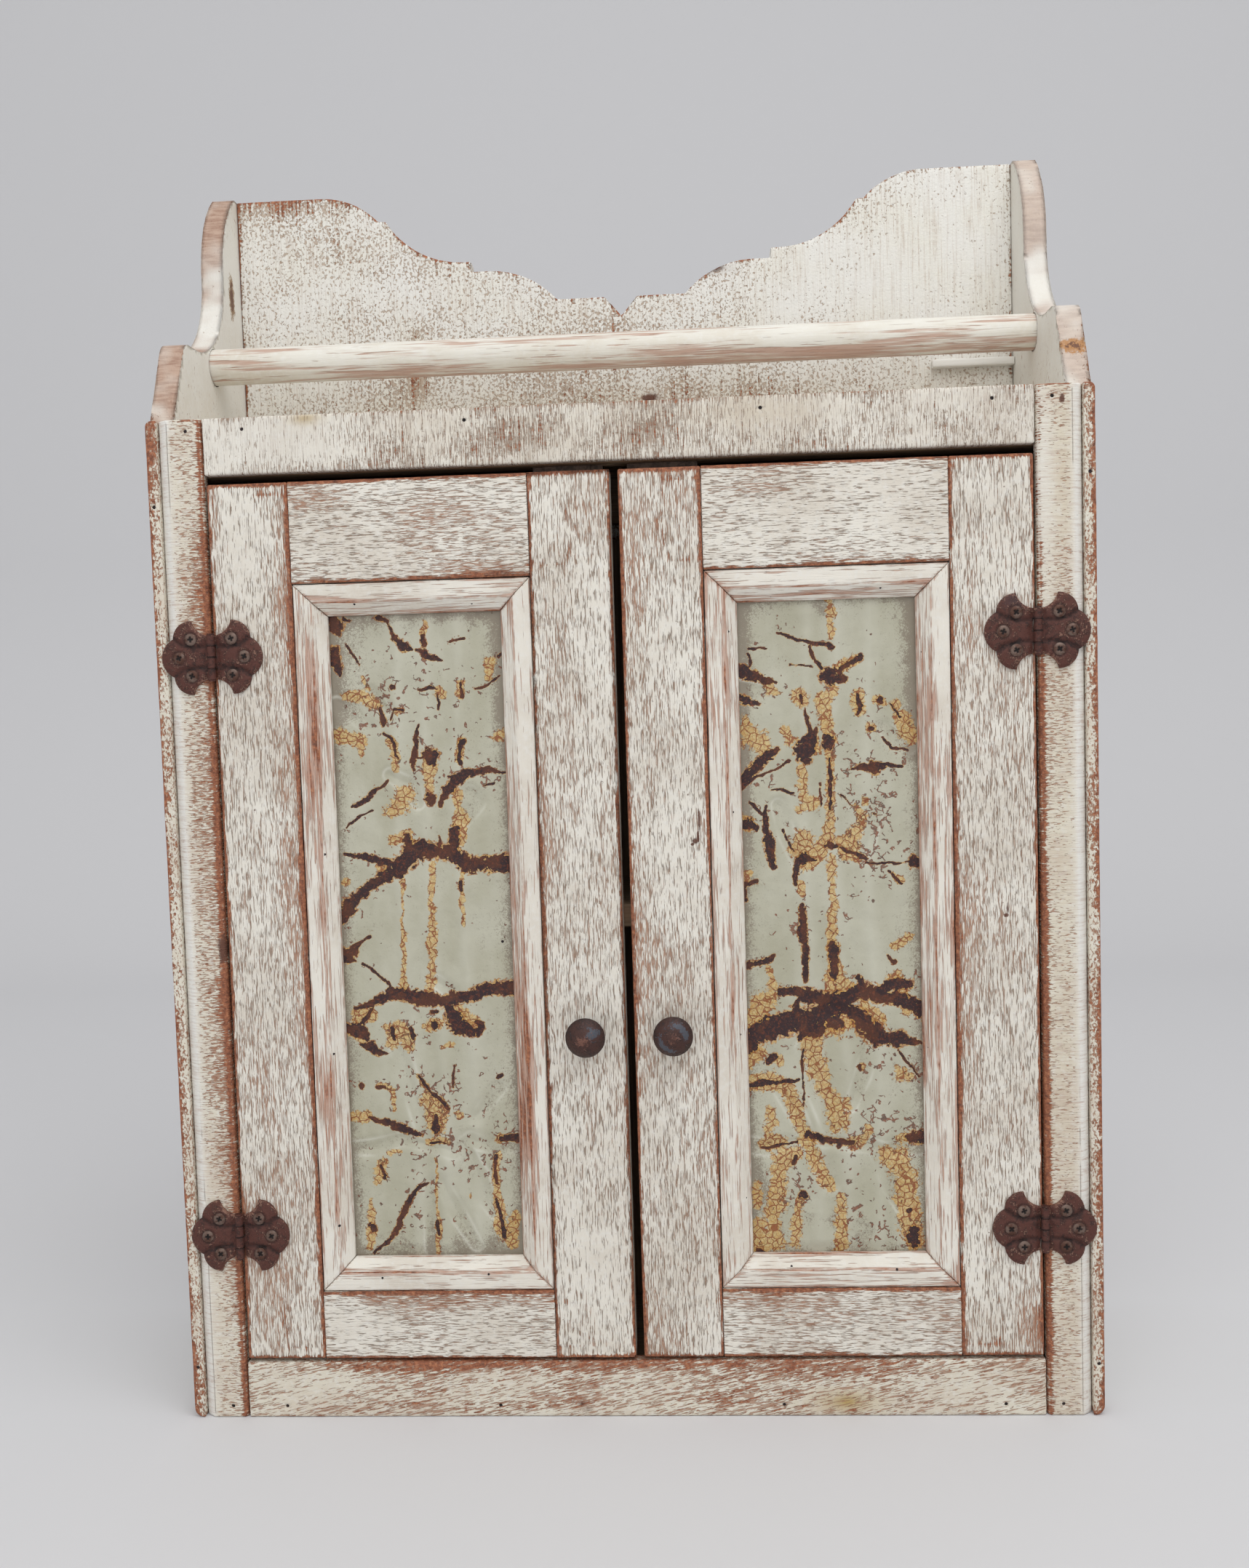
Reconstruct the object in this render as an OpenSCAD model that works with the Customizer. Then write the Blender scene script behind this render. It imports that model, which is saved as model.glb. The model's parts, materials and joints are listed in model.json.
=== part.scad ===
// Wall cabinet with two tin panelled doors, a scrolled crest, scrolled sides and a towel bar.
// X runs across, Y runs from the front to the wall and Z runs up.
// The origin is under the middle of the whole cabinet, knobs included, level with its base.

/* [Case] */
// Width over the face frame
case_w = 610; // [560:5:760]
// Height of the box, from its base to the top of the face frame
case_h = 670; // [580:5:820]
// Depth from the front of the face frame to the wall
case_d = 183; // [176:1:240]
// Thickness of the side boards
side_t = 16.6; // [12:0.2:22]
// Thickness of the top, bottom and shelf boards
shelf_t = 16; // [12:1:22]
// Thickness of the crest board and the back boards
back_t = 16; // [10:1:20]
// Depth of the housings that hold the shelves in the sides
housing = 5; // [3:0.5:8]
// Height of the middle of the shelf above the base
shelf_z = 335; // [200:5:420]
// Distance of the shelf's front from the backs of the doors
shelf_gap = 4; // [3:0.5:20]
// Height of the hanging rail
hang_h = 45; // [35:1:60]
// Thickness of the hanging rail
hang_t = 16; // [12:1:22]
// Distance between the two wall screws
hang_pitch = 406.4; // [300:0.1:460]
// Diameter of the wall screw holes
hang_hole_d = 5.5; // [4:0.1:8]

/* [Scrolled sides] */
// Height of the sides and the crest above the box
rise = 191; // [178:1:200]
// Height of the shoulder of the sides above the box
shoulder_h = 58; // [50:1:64]
// Distance of the rounded shoulder's top from the front of the face frame
shoulder_y = 46; // [40:1:52]
// Radius of the rounded shoulder
shoulder_r = 14; // [8:1:20]
// Length of the flat behind the rounded shoulder
shoulder_flat = 14; // [6:1:18]
// Radius of the cove behind the flat
side_cove_r = 67.5; // [60:0.5:70]
// Depth of the rounded top above the cove
side_top_run = 34; // [24:1:44]

/* [Crest] */
// Half width of the notch in the middle
notch_half = 12; // [6:1:20]
// Depth of the notch
notch_d = 14; // [8:1:20]
// Half width of the low middle part
crest_flat_half = 48; // [36:1:60]
// Drop from the top to the low middle part
crest_flat_drop = 82; // [76:1:90]
// Drop from the top to the inner lobes
crest_lobe_drop = 59; // [56:1:66]
// Radius of the inner lobes
crest_lobe_r = 67.5; // [50:0.5:80]
// Length of the flat on the inner lobes
crest_lobe_flat = 13; // [4:1:20]
// Drop from the top to the foot of the coves
crest_cove_drop = 51.5; // [44:0.5:54]
// Length of the flat at the foot of the coves
crest_cove_flat = 6; // [2:1:12]
// Radius of the coves
crest_cove_r = 67.5; // [50:0.5:75]
// Drop from the top to the small ledges
crest_ledge_drop = 19; // [12:1:26]
// Length of the small ledges
crest_ledge = 5.5; // [2:0.5:8]
// Radius of the outer shoulders
crest_corner_r = 60; // [40:1:70]
// How far the crest board reaches below the hanging rail
crest_lap = 10; // [0:1:30]

/* [Towel bar] */
// Diameter of the towel bar
bar_d = 25.4; // [18:0.2:27]
// Distance of the towel bar's axis behind the flat of the shoulder
bar_back = 40; // [38:1:50]
// Drop of the towel bar's axis below the shoulder
bar_drop = 4; // [3:0.5:12]
// Depth of the blind holes that hold the towel bar
bar_seat = 8; // [5:0.5:10]

/* [Face frame] */
// Thickness of the face frame
face_t = 10; // [10:1:16]
// Width of a stile with its outer strip
stile_w = 37.4; // [36:0.2:50]
// Width of the outer strip
strip_w = 7.6; // [5:0.2:9]
// Width of the bevel on the stile beside the strip
bevel_w = 6; // [3:0.5:8]
// Depth of that bevel
bevel_d = 4.5; // [2:0.5:6]
// Size of the eased inner edge of the stiles
ease = 2; // [0.5:0.5:3]
// Radius of the strip's lower outer corner
strip_low_r = 6.5; // [2:0.5:7]
// Radius of the strip's upper outer corner
strip_top_r = 4; // [1:0.5:6]
// Height of the top rail
rail_top_h = 37; // [34:1:60]
// Height of the bottom rail
rail_low_h = 38.5; // [34:0.5:60]

/* [Doors] */
// Thickness of the doors
door_t = 18; // [17:0.5:22]
// Gap beside the hinges
gap_hinge = 1.6; // [1.2:0.1:3]
// Gap above the doors
gap_top = 5.8; // [2:0.1:8]
// Gap below the doors
gap_low = 2.2; // [1.5:0.1:5]
// Gap between the doors
gap_mid = 5.2; // [3:0.1:8]
// Width of the door stiles
door_stile_w = 53.3; // [46:0.1:64]
// Height of the doors' top rails
door_top_h = 66.3; // [50:0.1:80]
// Height of the doors' bottom rails
door_low_h = 46.2; // [36:0.1:70]
// Length of the tenons
tenon_l = 26; // [15:1:30]
// Thickness of the tenons
tenon_t = 6; // [4:0.5:7]
// Height taken off a tenon at each edge of its rail
tenon_in = 8; // [5:0.5:12]

/* [Panels] */
// Width of the mouldings
mould_w = 21; // [16:0.5:26]
// Width of the flat outer part of the mouldings
mould_flat = 12; // [6:0.5:14]
// Depth of the moulding's face behind the door's face
mould_in = 1; // [0:0.5:2]
// Depth to the inner edge of the moulding's bevel
mould_bevel = 8; // [4:0.5:9]
// Depth from the door's face to the tin
tin_y = 11; // [10:0.5:12]
// Thickness of the tin panels
tin_t = 0.8; // [0.4:0.1:1.5]
// Thickness of the boards behind the tin
backer_t = 4; // [3:0.5:5]
// Width of the rebate for the tin and its board
rebate = 8; // [5:0.5:12]

/* [Hinges] */
// Height of the lower hinges' middles above the base
hinge_low_z = 127; // [90:1:200]
// Drop of the upper hinges' middles below the top of the box
hinge_up_drop = 155; // [130:1:220]
// Thickness of the hinge leaves
leaf_t = 1.6; // [1.2:0.1:2]
// Radius of the hinge barrels
barrel_r = 2.75; // [2.4:0.05:3]
// Height of the hinge barrels
barrel_h = 29; // [24:0.5:32]
// Radius of the hinge pins
pin_r = 1.4; // [1.1:0.05:1.6]
// Radius of the wing lobes
wing_r = 12.2; // [10:0.1:13]
// Radius of the middle lobe
lobe_r = 14; // [12:0.1:16]
// Radius of the screw heads
screw_head_r = 3.3; // [2.6:0.1:3.6]
// Radius of the screw shanks
screw_r = 1.6; // [1.2:0.1:1.8]
// Length of the screws under their heads
screw_l = 8.5; // [6:0.5:9]

/* [Knobs and catches] */
// Distance of the knobs from the cabinet's middle
knob_x = 28.5; // [22:0.5:36]
// Height of the knobs above the base
knob_z = 261; // [200:1:300]
// Radius of the knobs
knob_r = 13; // [11:0.5:14.5]
// Thickness of the knobs' heads
knob_head_h = 7.5; // [6:0.5:9]
// Length of the flare behind the knobs' heads
knob_flare = 5.5; // [3:0.5:7]
// How far the knobs stand out from the doors
knob_reach = 22; // [20:0.5:30]
// Radius of the knob's neck
knob_neck_r = 5; // [4:0.5:7]
// Radius of the knob's foot
knob_foot_r = 7; // [6:0.5:9]
// Radius of the knob bolts
knob_bolt_r = 1.85; // [1.5:0.05:2.2]
// Distance of the catches from the cabinet's middle
catch_x = 31; // [28:1:34]
// Width of a catch's case
catch_w = 30; // [24:1:32]
// Height of a catch's case
catch_h = 18; // [14:1:22]
// Depth of the rail that carries the catches
catch_rail_d = 26; // [24:1:40]

/* [Fixings and fits] */
// Radius of the nails in the face frame
nail_r = 1.1; // [0.8:0.1:1.4]
// Length of those nails
nail_l = 28; // [22:1:36]
// How far the nail heads are driven below the face
nail_sink = 0.8; // [0.3:0.1:1.5]
// Distance of the outer rail nails from the ends of the rails
nail_end = 27; // [18:1:40]
// Distance of the inner rail nails from the cabinet's middle
nail_mid = 95; // [60:1:130]
// Height of the lower strip nails above the base
strip_nail_low = 35; // [25:1:60]
// Drop of the upper strip nails below the top of the box
strip_nail_drop = 56; // [25:1:80]
// Clearance of the joints between boards
fit = 0.1; // [0.05:0.05:0.3]
// Clearance round the nails, screws and bolts in their holes
fix_fit = 0.05; // [0.05:0.01:0.1]
// Clearance between the mouldings and the doors
mould_fit = 0.4; // [0.1:0.1:0.8]
// Gap between the stiles and the rails of the face frame
rail_gap = 0.5; // [0.1:0.1:1]
// Running clearance round the hinge pins
pin_fit = 0.05; // [0.02:0.01:0.1]
// Gap between moving pieces that face each other
run_gap = 0.3; // [0.2:0.1:0.6]

/* [Hidden] */
$fn = 96;
arc_steps = 20;
cut = 1;

// Heights and depths of the case
top_z = case_h + rise;
side_in = case_w / 2 - side_t;
back_y = case_d - back_t;
board_half = side_in + housing - fit;
batten_z = case_h - rail_top_h;
hang_z = case_h - shelf_t - hang_h / 2;
crest_z = hang_z - hang_h / 2 - crest_lap;
shelf_y = door_t + shelf_gap;
cove_y = shoulder_y + shoulder_flat;
cove_z = case_h + shoulder_h + side_cove_r;
bar_y = cove_y + bar_back;
bar_z = case_h + shoulder_h - bar_drop;

// Face frame
stile_in = case_w / 2 - stile_w;
strip_in = case_w / 2 - strip_w;

// Doors
door_out = stile_in - gap_hinge;
door_in = gap_mid / 2;
door_w = door_out - door_in;
door_z = rail_low_h + gap_low;
door_top = case_h - rail_top_h - gap_top;
panel_x = door_in + door_stile_w;
panel_w = door_w - 2 * door_stile_w;
panel_z = door_z + door_low_h;
panel_h = door_top - door_top_h - panel_z;
tenon_y = (tin_y - tenon_t) / 2;

// Hinges: the pin stands in front of the gap between the door and the stile
hinge_x = stile_in - gap_hinge / 2;
hinge_y = -barrel_r - run_gap;
leaf_start = barrel_r + run_gap;
wing_x = 13.5;
wing_z = 12;
lobe_x = 19.4;
lobe_screw_x = 21.7;
waist_r = 12.7;
waist_x = 1;
waist_z = 27;
hinge_up_z = case_h - hinge_up_drop;
head_h = 1.5;
screw_play = 0.2;
leaf_hole_r = screw_r + screw_play;
pilot_r = screw_r + fix_fit;
recess_w = 0.8;
pin_head_h = 1;
pin_head_r = barrel_r - 0.4;
knuckle = barrel_h / 4;

// Knobs and catches
knob_dome_r = 16;
knob_foot_h = 2;
knob_grip = 12;
knob_hole_r = knob_bolt_r + fix_fit;
bolt_head_r = 2.2 * knob_bolt_r;
bolt_head_h = 2.4;
bolt_slot = 1;
strike_t = 1;
strike_w = 30;
strike_h = 24;
strike_top = 1;
strike_screw = 6;
catch_y = door_t + strike_t + run_gap;
catch_back = face_t + catch_rail_d;
ear_w = 8;
ear_t = 3;
ear_in = 2;

// Small ledge in the right back corner, above the box
ledge_l = 60;
ledge_t = 7;
ledge_h = 6;
ledge_z = 45;

// The whole cabinet is centred between its knobs and the wall
mid_y = (case_d - knob_reach) / 2;

cream = [0.80, 0.77, 0.69];
white = [0.83, 0.82, 0.78];
bare = [0.55, 0.40, 0.30];
tin = [0.72, 0.73, 0.64];
rust = [0.33, 0.21, 0.18];
steel = [0.62, 0.60, 0.57];

// Half of a chord across a circle, at a height h below its top
function chord(r, h) = sqrt(r * r - (r - h) * (r - h));

// Points along an arc from the angle a to the angle b, the first of them left out if skip is 1
function arc(c, r, a, b, skip = 0) =
    [for (i = [skip:arc_steps]) let (t = a + (b - a) * i / arc_steps) c + r * [cos(t), sin(t)]];

module placed() translate([0, -mid_y, 0]) children();

// A box between two corners
module box(a, b) translate(a) cube(b - a);

// An outline in X and Z, extruded from one depth to another
module slab(y0, y1) translate([0, y1, 0]) rotate([90, 0, 0]) linear_extrude(y1 - y0) children();

// An outline in Y and Z, extruded from one X to another
module plank(x0, x1) translate([x0, 0, 0]) rotate([90, 0, 90]) linear_extrude(x1 - x0) children();

// A round bar along Y
module peg(x, z, y0, y1, r) translate([x, y0, z]) rotate([-90, 0, 0]) cylinder(h = y1 - y0, r = r);

module both_sides() {
    children();
    mirror([1, 0, 0]) children();
}

// Right side board

// The front of the shoulder slopes from the face frame to the tangent of its round
shoulder_c = [shoulder_y, case_h + shoulder_h - shoulder_r];
slope_run = shoulder_c - [face_t, case_h];
slope_a = atan2(slope_run[1], slope_run[0]) + asin(shoulder_r / norm(slope_run));

// The rounded top leaves the cove upright and ends at the top edge
top_rise = top_z - cove_z;
side_top_r = (side_top_run * side_top_run + top_rise * top_rise) / (2 * side_top_run);
side_top_c = [cove_y + side_cove_r + side_top_r, cove_z];

module side_outline() {
    polygon(concat(
        [[face_t, 0], [face_t, case_h]],
        arc(shoulder_c, shoulder_r, slope_a + 90, 90),
        arc([cove_y, cove_z], side_cove_r, -90, 0),
        arc(side_top_c, side_top_r, 180, 180 - asin(top_rise / side_top_r), 1),
        [[case_d, top_z], [case_d, 0]]));
}

module housing_slot(y, z) {
    box([side_in - cut, y, z - fit], [side_in + housing, back_y + fit, z + shelf_t + fit]);
}

module side_board() {
    difference() {
        plank(side_in, case_w / 2) side_outline();
        housing_slot(face_t - cut, case_h - shelf_t);
        housing_slot(shelf_y - fit, shelf_z - shelf_t / 2);
        housing_slot(face_t - cut, 0);
        translate([side_in - cut, bar_y, bar_z]) rotate([0, 90, 0])
            cylinder(h = bar_seat + cut, r = bar_d / 2 + fit);
        strip_nail_holes();
    }
}

// Nails

module rail_nail_spots() {
    for (x = [stile_in - nail_end, nail_mid])
        for (z = [shelf_t / 2, case_h - shelf_t / 2])
            both_sides() translate([x, 0, z]) children();
    for (z = [shelf_t / 2, case_h - shelf_t / 2])
        both_sides() translate([(stile_in + side_in) / 2, 0, z]) children();
}

module strip_nail_spots() {
    for (z = [strip_nail_low, case_h - strip_nail_drop])
        translate([case_w / 2 - strip_w / 2, 0, z]) children();
}

module nail() {
    peg(0, 0, nail_sink, nail_l, nail_r);
}

module nail_hole() {
    peg(0, 0, -cut, nail_l + fit, nail_r + fix_fit);
}

module strip_nail_holes() strip_nail_spots() nail_hole();
module rail_nail_holes() rail_nail_spots() nail_hole();

// Shelves and rails inside the case

module wide_board(z, y) {
    box([-board_half, y, z], [board_half, back_y, z + shelf_t]);
}

module wall_holes() {
    both_sides() peg(hang_pitch / 2, hang_z, back_y - hang_t - cut, case_d + cut, hang_hole_d / 2);
}

module catch_screw_spots() {
    both_sides() for (s = [-1, 1])
        translate([catch_x + s * (catch_w / 2 + ear_w / 2), (catch_y + catch_back) / 2, batten_z])
            children();
}

// Crest and back boards

crest_flat_z = top_z - crest_flat_drop;
crest_lobe_z = top_z - crest_lobe_drop;
crest_cove_z = top_z - crest_cove_drop;
crest_ledge_z = top_z - crest_ledge_drop;
crest_lobe_x = crest_flat_half + chord(crest_lobe_r, crest_lobe_z - crest_flat_z);
crest_step_x = crest_lobe_x + crest_lobe_flat;
crest_cove_x = crest_step_x + crest_cove_flat;
crest_ledge_x = crest_cove_x + chord(crest_cove_r, crest_ledge_z - crest_cove_z);
crest_corner_x = crest_ledge_x + crest_ledge;
crest_top_x = crest_corner_x + chord(crest_corner_r, crest_ledge_drop);

// Upper edge of the crest's right half, from the notch to the side
crest_edge = concat(
    [[notch_half, crest_flat_z]],
    arc([crest_lobe_x, crest_lobe_z - crest_lobe_r], crest_lobe_r,
        90 + acos(1 - (crest_lobe_z - crest_flat_z) / crest_lobe_r), 90),
    [[crest_step_x, crest_lobe_z], [crest_step_x, crest_cove_z]],
    arc([crest_cove_x, crest_cove_z + crest_cove_r], crest_cove_r,
        -90, acos(1 - (crest_ledge_z - crest_cove_z) / crest_cove_r) - 90),
    arc([crest_top_x, top_z - crest_corner_r], crest_corner_r,
        90 + acos(1 - crest_ledge_drop / crest_corner_r), 90),
    [[side_in, top_z]]);

module crest_outline() {
    polygon(concat(
        [[0, crest_flat_z - notch_d]],
        crest_edge,
        [[side_in, crest_z], [-side_in, crest_z]],
        [for (i = [len(crest_edge) - 1:-1:0]) [-crest_edge[i][0], crest_edge[i][1]]]));
}

// Face frame

module strip_outline() {
    difference() {
        translate([strip_in, 0]) square([strip_w, case_h]);
        translate([case_w / 2 - strip_low_r, 0]) difference() {
            translate([0, -cut]) square([strip_low_r + cut, strip_low_r + cut]);
            translate([0, strip_low_r]) circle(strip_low_r);
        }
        translate([case_w / 2 - strip_top_r, case_h - strip_top_r]) difference() {
            square([strip_top_r + cut, strip_top_r + cut]);
            circle(strip_top_r);
        }
    }
}

module stile_section() {
    polygon([[stile_in, ease], [stile_in + ease, 0], [strip_in - bevel_w, 0],
             [strip_in, bevel_d], [strip_in, face_t], [stile_in, face_t]]);
}

module face_stile() {
    difference() {
        linear_extrude(case_h) stile_section();
        hinge_spots() leaf_screw_holes();
        rail_nail_holes();
    }
}

module face_rail(z, h) {
    difference() {
        box([rail_gap - stile_in, 0, z], [stile_in - rail_gap, face_t, z + h]);
        rail_nail_holes();
    }
}

// Hinges, drawn for the right door: the pin at the origin, the case leaf towards +X

module hinge_spots() {
    for (z = [hinge_low_z, hinge_up_z]) translate([hinge_x, 0, z]) children();
}

module screw_spots() {
    for (s = [-1, 1]) translate([wing_x, 0, s * wing_z]) children();
    translate([lobe_screw_x, 0, 0]) children();
}

module leaf_screw_holes() screw_spots() peg(0, 0, -cut, screw_l + fit, pilot_r);

module leaf_outline() {
    difference() {
        union() {
            for (s = [-1, 1]) translate([wing_x, s * wing_z]) circle(wing_r);
            translate([lobe_x, 0]) circle(lobe_r);
            translate([leaf_start, -wing_z]) square([wing_x, 2 * wing_z]);
        }
        for (s = [-1, 1]) translate([waist_x, s * waist_z]) circle(waist_r);
        translate([leaf_start - 4 * wing_r, -4 * wing_r]) square([4 * wing_r, 8 * wing_r]);
    }
}

module leaf(first) {
    difference() {
        union() {
            slab(-leaf_t, 0) leaf_outline();
            for (i = [first, first + 2]) translate([0, 0, -barrel_h / 2 + i * knuckle + run_gap / 2]) {
                translate([0, hinge_y, 0]) cylinder(h = knuckle - run_gap, r = barrel_r);
                box([0, -leaf_t, 0], [leaf_start + cut, 0, knuckle - run_gap]);
            }
        }
        translate([0, hinge_y, -barrel_h]) cylinder(h = 2 * barrel_h, r = pin_r + pin_fit);
        screw_spots() peg(0, 0, -leaf_t - cut, cut, leaf_hole_r);
    }
}

module case_leaf(z) translate([hinge_x, 0, z]) leaf(0);
module door_leaf(z) translate([hinge_x, 0, z]) mirror([1, 0, 0]) leaf(1);

module hinge_pin() {
    translate([0, hinge_y, -barrel_h / 2]) cylinder(h = barrel_h, r = pin_r);
    for (z = [-barrel_h / 2 - pin_head_h, barrel_h / 2])
        translate([0, hinge_y, z]) cylinder(h = pin_head_h, r = pin_head_r);
}

// A cross recess screw along Y, its head in front of the plane y = 0
module screw() {
    difference() {
        union() {
            peg(0, 0, -head_h, 0, screw_head_r);
            peg(0, 0, -head_h / 3, screw_l, screw_r);
        }
        for (a = [0, 90]) rotate([0, a, 0])
            box([-screw_head_r / 2, -head_h - cut, -recess_w / 2],
                [screw_head_r / 2, -head_h / 3, recess_w / 2]);
    }
}

// Doors, drawn on the right

module door_stile(x0, panel_edge) {
    difference() {
        box([x0, 0, door_z], [x0 + door_stile_w, door_t, door_top]);
        box([panel_edge - rebate, tin_y, panel_z - rebate],
            [panel_edge + rebate, door_t + cut, panel_z + panel_h + rebate]);
        for (z = [[door_z + tenon_in, panel_z - tenon_in],
                  [panel_z + panel_h + tenon_in, door_top - tenon_in]])
            box([panel_edge - tenon_l - fit, tenon_y - fit, z[0] - fit],
                [panel_edge + tenon_l + fit, tenon_y + tenon_t + fit, z[1] + fit]);
    }
}

module door_rail(z0, z1, panel_edge) {
    difference() {
        box([panel_x, 0, z0], [panel_x + panel_w, door_t, z1]);
        box([panel_x - cut, tin_y, panel_edge - rebate],
            [panel_x + panel_w + cut, door_t + cut, panel_edge + rebate]);
    }
    box([panel_x - tenon_l, tenon_y, z0 + tenon_in],
        [panel_x + panel_w + tenon_l, tenon_y + tenon_t, z1 - tenon_in]);
}

// A mitred moulding along X, its outer edge on z = 0 and the panel above it
module moulding(l) {
    intersection() {
        plank(-l / 2, l / 2) polygon([[mould_in, 0], [mould_in, mould_flat],
            [mould_bevel, mould_w], [tin_y, mould_w], [tin_y, 0]]);
        slab(-cut, door_t) polygon([[-l / 2, 0], [l / 2, 0],
            [l / 2 - mould_w, mould_w], [mould_w - l / 2, mould_w]]);
    }
}

panel_mid = [panel_x + panel_w / 2, 0, panel_z + panel_h / 2];

module moulding_bottom()
    translate(panel_mid - [0, 0, panel_h / 2 - mould_fit]) moulding(panel_w - 2 * mould_fit);

module moulding_top()
    translate(panel_mid + [0, 0, panel_h / 2 - mould_fit]) mirror([0, 0, 1])
        moulding(panel_w - 2 * mould_fit);

module moulding_upright(s)
    translate(panel_mid + [s * (panel_w / 2 - mould_fit), 0, 0]) rotate([0, -90 * s, 0])
        moulding(panel_h - 2 * mould_fit);

module panel_sheet(y, t) {
    box([panel_x - rebate + fit, y, panel_z - rebate + fit],
        [panel_x + panel_w + rebate - fit, y + t, panel_z + panel_h + rebate - fit]);
}

module hinge_stile() {
    difference() {
        door_stile(door_out - door_stile_w, door_out - door_stile_w);
        hinge_spots() mirror([1, 0, 0]) leaf_screw_holes();
    }
}

module lock_stile() {
    difference() {
        door_stile(door_in, panel_x);
        peg(knob_x, knob_z, -cut, door_t + cut, knob_bolt_r + screw_play);
        strike_spot() rotate([0, 0, 180]) peg(0, 0, -cut, screw_l + fit, pilot_r);
    }
}

module knob() {
    translate([knob_x, 0, knob_z]) rotate([90, 0, 0]) difference() {
        union() {
            cylinder(h = knob_foot_h, r = knob_foot_r);
            cylinder(h = knob_reach - knob_head_h, r = knob_neck_r);
            translate([0, 0, knob_reach - knob_head_h - knob_flare])
                cylinder(h = knob_flare, r1 = knob_neck_r, r2 = knob_r);
            intersection() {
                translate([0, 0, knob_reach - knob_head_h]) cylinder(h = knob_head_h, r = knob_r);
                translate([0, 0, knob_reach - knob_dome_r]) sphere(knob_dome_r);
            }
        }
        translate([0, 0, -cut]) cylinder(h = knob_grip + cut, r = knob_hole_r);
    }
}

module knob_bolt() {
    difference() {
        union() {
            peg(knob_x, knob_z, fit - knob_grip, door_t + cut, knob_bolt_r);
            peg(knob_x, knob_z, door_t, door_t + bolt_head_h, bolt_head_r);
        }
        box([knob_x - 2 * bolt_head_r, door_t + bolt_head_h / 2, knob_z - bolt_slot / 2],
            [knob_x + 2 * bolt_head_r, door_t + bolt_head_h + cut, knob_z + bolt_slot / 2]);
    }
}

module strike_spot() {
    translate([catch_x, door_t, door_top - strike_top - strike_h + strike_screw]) children();
}

module strike() {
    difference() {
        box([catch_x - strike_w / 2, door_t, door_top - strike_top - strike_h],
            [catch_x + strike_w / 2, door_t + strike_t, door_top - strike_top]);
        strike_spot() peg(0, 0, -cut, strike_t + cut, leaf_hole_r);
    }
}

module door_screws() {
    hinge_spots() mirror([1, 0, 0]) screw_spots() translate([0, -leaf_t, 0]) screw();
    strike_spot() translate([0, strike_t, 0]) rotate([0, 0, 180]) screw();
}

module magnetic_catch() {
    difference() {
        union() {
            box([catch_x - catch_w / 2, catch_y, batten_z - catch_h],
                [catch_x + catch_w / 2, catch_back, batten_z]);
            box([catch_x - catch_w / 2 - ear_w, catch_y + ear_in, batten_z - ear_t],
                [catch_x + catch_w / 2 + ear_w, catch_back - ear_in, batten_z]);
        }
        catch_screw_spots() translate([0, 0, -ear_t - cut])
            cylinder(h = ear_t + 2 * cut, r = leaf_hole_r);
    }
}

// The pieces

module left_side() color(cream) placed() mirror([1, 0, 0]) side_board();
module right_side() color(cream) placed() side_board();

module top_board() color(cream) placed() difference() {
    wide_board(case_h - shelf_t, face_t);
    rail_nail_holes();
}

module bottom_board() color(cream) placed() difference() {
    wide_board(0, face_t);
    rail_nail_holes();
}

module shelf() color(cream) placed()
    wide_board(shelf_z - shelf_t / 2, shelf_y);

module crest_board() color(cream) placed() difference() {
    slab(back_y, case_d) crest_outline();
    wall_holes();
}

module back_board_left() color(bare) placed()
    box([-side_in, back_y, 0], [-fit, case_d, crest_z]);
module back_board_right() color(bare) placed()
    box([fit, back_y, 0], [side_in, case_d, crest_z]);

module hanging_rail() color(bare) placed() difference() {
    box([-side_in, back_y - hang_t, hang_z - hang_h / 2], [side_in, back_y, hang_z + hang_h / 2]);
    wall_holes();
}

module catch_rail() color(bare) placed() difference() {
    box([-side_in, face_t, batten_z], [side_in, catch_back, case_h - shelf_t]);
    catch_screw_spots() translate([0, 0, -cut]) cylinder(h = screw_l + cut, r = pilot_r);
}

module back_ledge() color(cream) placed()
    box([side_in - ledge_l, back_y - ledge_t, case_h + ledge_z],
        [side_in, back_y, case_h + ledge_z + ledge_h]);

module towel_bar() color(cream) placed()
    translate([fit - side_in - bar_seat, bar_y, bar_z]) rotate([0, 90, 0])
        cylinder(h = 2 * (side_in + bar_seat - fit), r = bar_d / 2);

module face_stile_left() color(cream) placed() mirror([1, 0, 0]) face_stile();
module face_stile_right() color(cream) placed() face_stile();

module edge_strip() difference() {
    slab(0, face_t) strip_outline();
    strip_nail_holes();
}
module edge_strip_left() color(bare) placed() mirror([1, 0, 0]) edge_strip();
module edge_strip_right() color(bare) placed() edge_strip();

module face_rail_top() color(cream) placed() face_rail(case_h - rail_top_h, rail_top_h);
module face_rail_bottom() color(cream) placed() face_rail(0, rail_low_h);

module hinge_leaf_upper_left() color(rust) placed() mirror([1, 0, 0]) case_leaf(hinge_up_z);
module hinge_leaf_lower_left() color(rust) placed() mirror([1, 0, 0]) case_leaf(hinge_low_z);
module hinge_leaf_upper_right() color(rust) placed() case_leaf(hinge_up_z);
module hinge_leaf_lower_right() color(rust) placed() case_leaf(hinge_low_z);

module hinge_pins() color(rust) placed() both_sides() hinge_spots() hinge_pin();

module case_screws() color(steel) placed() {
    both_sides() hinge_spots() screw_spots() translate([0, -leaf_t, 0]) screw();
    catch_screw_spots() translate([0, 0, -ear_t]) rotate([90, 0, 0]) screw();
}

module face_nails() color(rust) placed() {
    rail_nail_spots() nail();
    both_sides() strip_nail_spots() nail();
}

module magnetic_catches() color(steel) placed() both_sides() magnetic_catch();

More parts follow.
